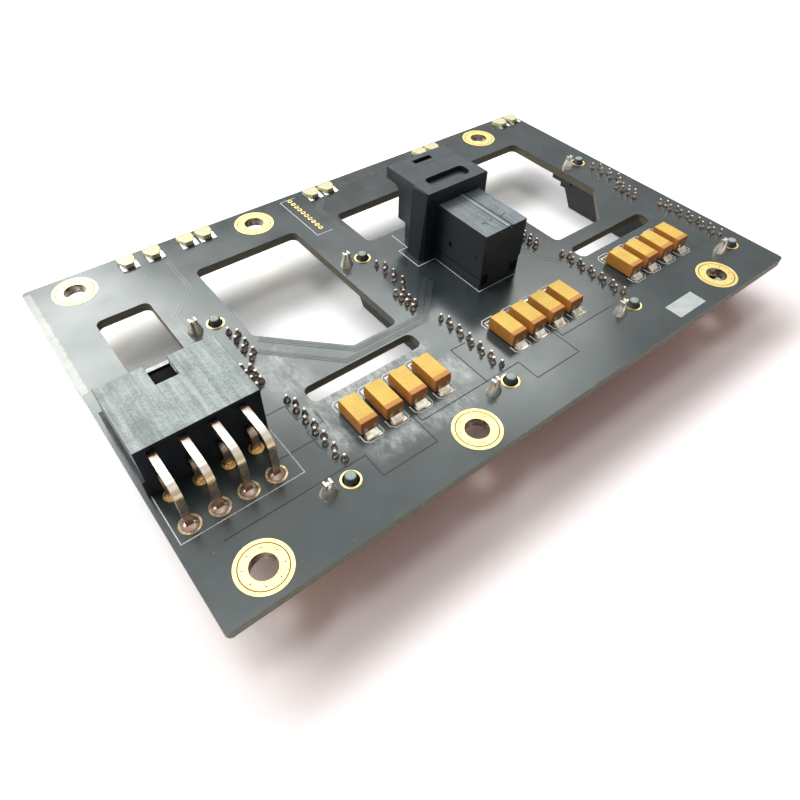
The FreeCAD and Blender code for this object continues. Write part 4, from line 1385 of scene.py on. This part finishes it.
@dataclass(frozen=True)
class Studio:
    """The plain floor, the soft light and the camera."""

    eye: tuple[float, float, float] = (-0.06074, -0.06832, 0.08076)
    turn: tuple[float, float, float] = (40.997, -1.263, -38.137)
    lens: float = 27.995
    sensor: float = 36.0
    clip: Point = (0.005, 50.0)
    floor_size: float = 3.0
    floor_drop: float = 0.0001
    floor_colour: Colour = (0.88, 0.87, 0.865)
    floor_seen: Colour = (1.27, 1.25, 1.24)
    glow_reach: Point = (0.11, 0.3)
    glow_power: Point = (0.1, 0.95)
    # pink added to the floor in front of the board: painted colour of the board's shadow there
    front_shadow_tint: Colour = (1.0, 0.4, 0.33)
    glow_behind: Colour = (1.0, 1.05, 1.05)
    sky_colour: Colour = (1.0, 0.99, 0.985)
    sky_way: tuple[float, float, float] = (-0.3, 0.75, 0.55)
    sky_lit: Point = (0.04, 0.3)
    sky_shown: Point = (0.65, 1.75)
    lamps: tuple[Lamp, ...] = (
        Lamp("window", 117.0, 43.0, 1.0, (1.05, 0.28), 9.4),
        Lamp("curtain", 55.0, 45.5, 1.0, (0.8, 0.23), 5.2),
        Lamp("skylight", 110.0, 78.0, 1.1, (0.4, 0.3), 4.0))

    def floor(self) -> None:
        """Lay the plain floor."""
        mesh = bmesh.new()
        bmesh.ops.create_grid(mesh, x_segments=1, y_segments=1, size=self.floor_size)
        data = bpy.data.meshes.new("floor")
        mesh.to_mesh(data)
        mesh.free()
        floor = bpy.data.objects.new("floor", data)
        floor.location.z = solid_low.z - self.floor_drop
        bpy.context.scene.collection.objects.link(floor)
        data.materials.append(self.floor_finish())

    def floor_finish(self) -> bpy.types.Material:
        """Make the floor, which keeps the shadow, has a pink tint painted into that shadow in front of the
        board, looks white to the camera and is clear from underneath.

        Returns:
            The material.
        """
        material = bpy.data.materials.new("pale_floor")
        material.use_nodes = True
        w = Wires(material.node_tree)
        w.tree.nodes.remove(w.tree.nodes["Principled BSDF"])
        rays = w.add("ShaderNodeLightPath").outputs
        seen = w.maths("ADD", rays["Is Camera Ray"], rays["Is Transmission Ray"])
        seen = w.maths("ADD", seen, rays["Is Glossy Ray"], clamp=True)
        pale = w.add("ShaderNodeBsdfDiffuse", {"Color": w.blend(seen, self.floor_colour, self.floor_seen)})
        away = w.add("ShaderNodeVectorMath", {0: w.place}, operation="LENGTH").outputs["Value"]
        far = w.span(away, *self.glow_reach)
        # painted shadow tint: pinker in front of the board
        near = w.blend(w.span(w.axis(w.place, 1), -0.04, 0.0), self.front_shadow_tint, self.glow_behind)
        tone, power = w.blend(far, near, (1.0, 1.0, 1.0)), w.mix(far, *self.glow_power)
        glow = w.add("ShaderNodeEmission", {"Color": tone, "Strength": w.times(seen, power)})
        both = w.add("ShaderNodeAddShader", {0: pale.outputs[0], 1: glow.outputs[0]})
        clear = w.add("ShaderNodeBsdfTransparent")
        below = w.source("ShaderNodeNewGeometry", "Backfacing")
        shown = w.add("ShaderNodeMixShader", {0: below, 1: both.outputs[0], 2: clear.outputs[0]})
        out = next(node for node in w.tree.nodes if node.type == "OUTPUT_MATERIAL")
        w.feed(out.inputs[0], shown.outputs[0])
        return material

    def sky(self) -> None:
        """Set soft light that is stronger from the back, with a white background."""
        world = bpy.data.worlds.new("sky")
        world.use_nodes = True
        bpy.context.scene.world = world
        w = Wires(world.node_tree)
        rays = w.add("ShaderNodeLightPath").outputs
        back = w.tree.nodes["Background"].inputs
        way = w.source("ShaderNodeTexCoord", "Generated")
        lean = w.add("ShaderNodeVectorMath", {0: way, 1: self.sky_way}, operation="DOT_PRODUCT")
        lit = w.span(lean.outputs["Value"], -0.5, 0.95, *self.sky_lit)
        shown = w.span(w.axis(way, 2), 0.42, 0.9, *self.sky_shown)
        glossy = w.mix(rays["Is Glossy Ray"], lit, shown)
        seen = w.maths("ADD", rays["Is Camera Ray"], rays["Is Transmission Ray"], clamp=True)
        w.feed(back["Strength"], w.mix(seen, glossy, 1.0))
        w.feed(back["Color"], self.sky_colour)

    def camera(self) -> None:
        """Set the camera at the photograph's angle."""
        data = bpy.data.cameras.new("camera")
        data.lens = self.lens
        data.sensor_width = self.sensor
        data.clip_start, data.clip_end = self.clip
        camera = bpy.data.objects.new("camera", data)
        camera.location = self.eye
        camera.rotation_euler = Euler([math.radians(angle) for angle in self.turn])
        bpy.context.scene.collection.objects.link(camera)
        bpy.context.scene.camera = camera

    def build(self) -> None:
        """Set up floor, light and camera."""
        self.camera()
        self.floor()
        self.sky()
        for lamp in self.lamps:
            lamp.hang()
        bpy.context.scene.view_settings.view_transform = "Standard"


def dress_solids() -> None:
    """Give every solid the finish of its material slot."""
    slots = {part["node"]: part["material_slot"] for part in frame["record"]["subparts"]}
    for name, solid in frame["nodes"].items():
        material = Finishes.BY_SLOT[slots[name]].build()
        if not solid.material_slots:
            solid.data.materials.append(material)
        for holder in solid.material_slots:
            holder.material = material
        LOG.info("%s: %s", name, material.name)


def main() -> None:
    """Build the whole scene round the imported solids."""
    logging.basicConfig(level=logging.INFO, format="%(name)s: %(message)s")
    Studio().build()
    dress_solids()
    for number in range(1, 5):
        DriveSocket(number).build()
    PowerHeader().build()
    DataPort().build()
    for letter in "abc":
        CapacitorRow(letter).build()
    for part in (EdgeLights(), MountingLand(), Print(), Tracks(), ServiceRow()):
        part.build()


if __name__ == "__main__":
    main()
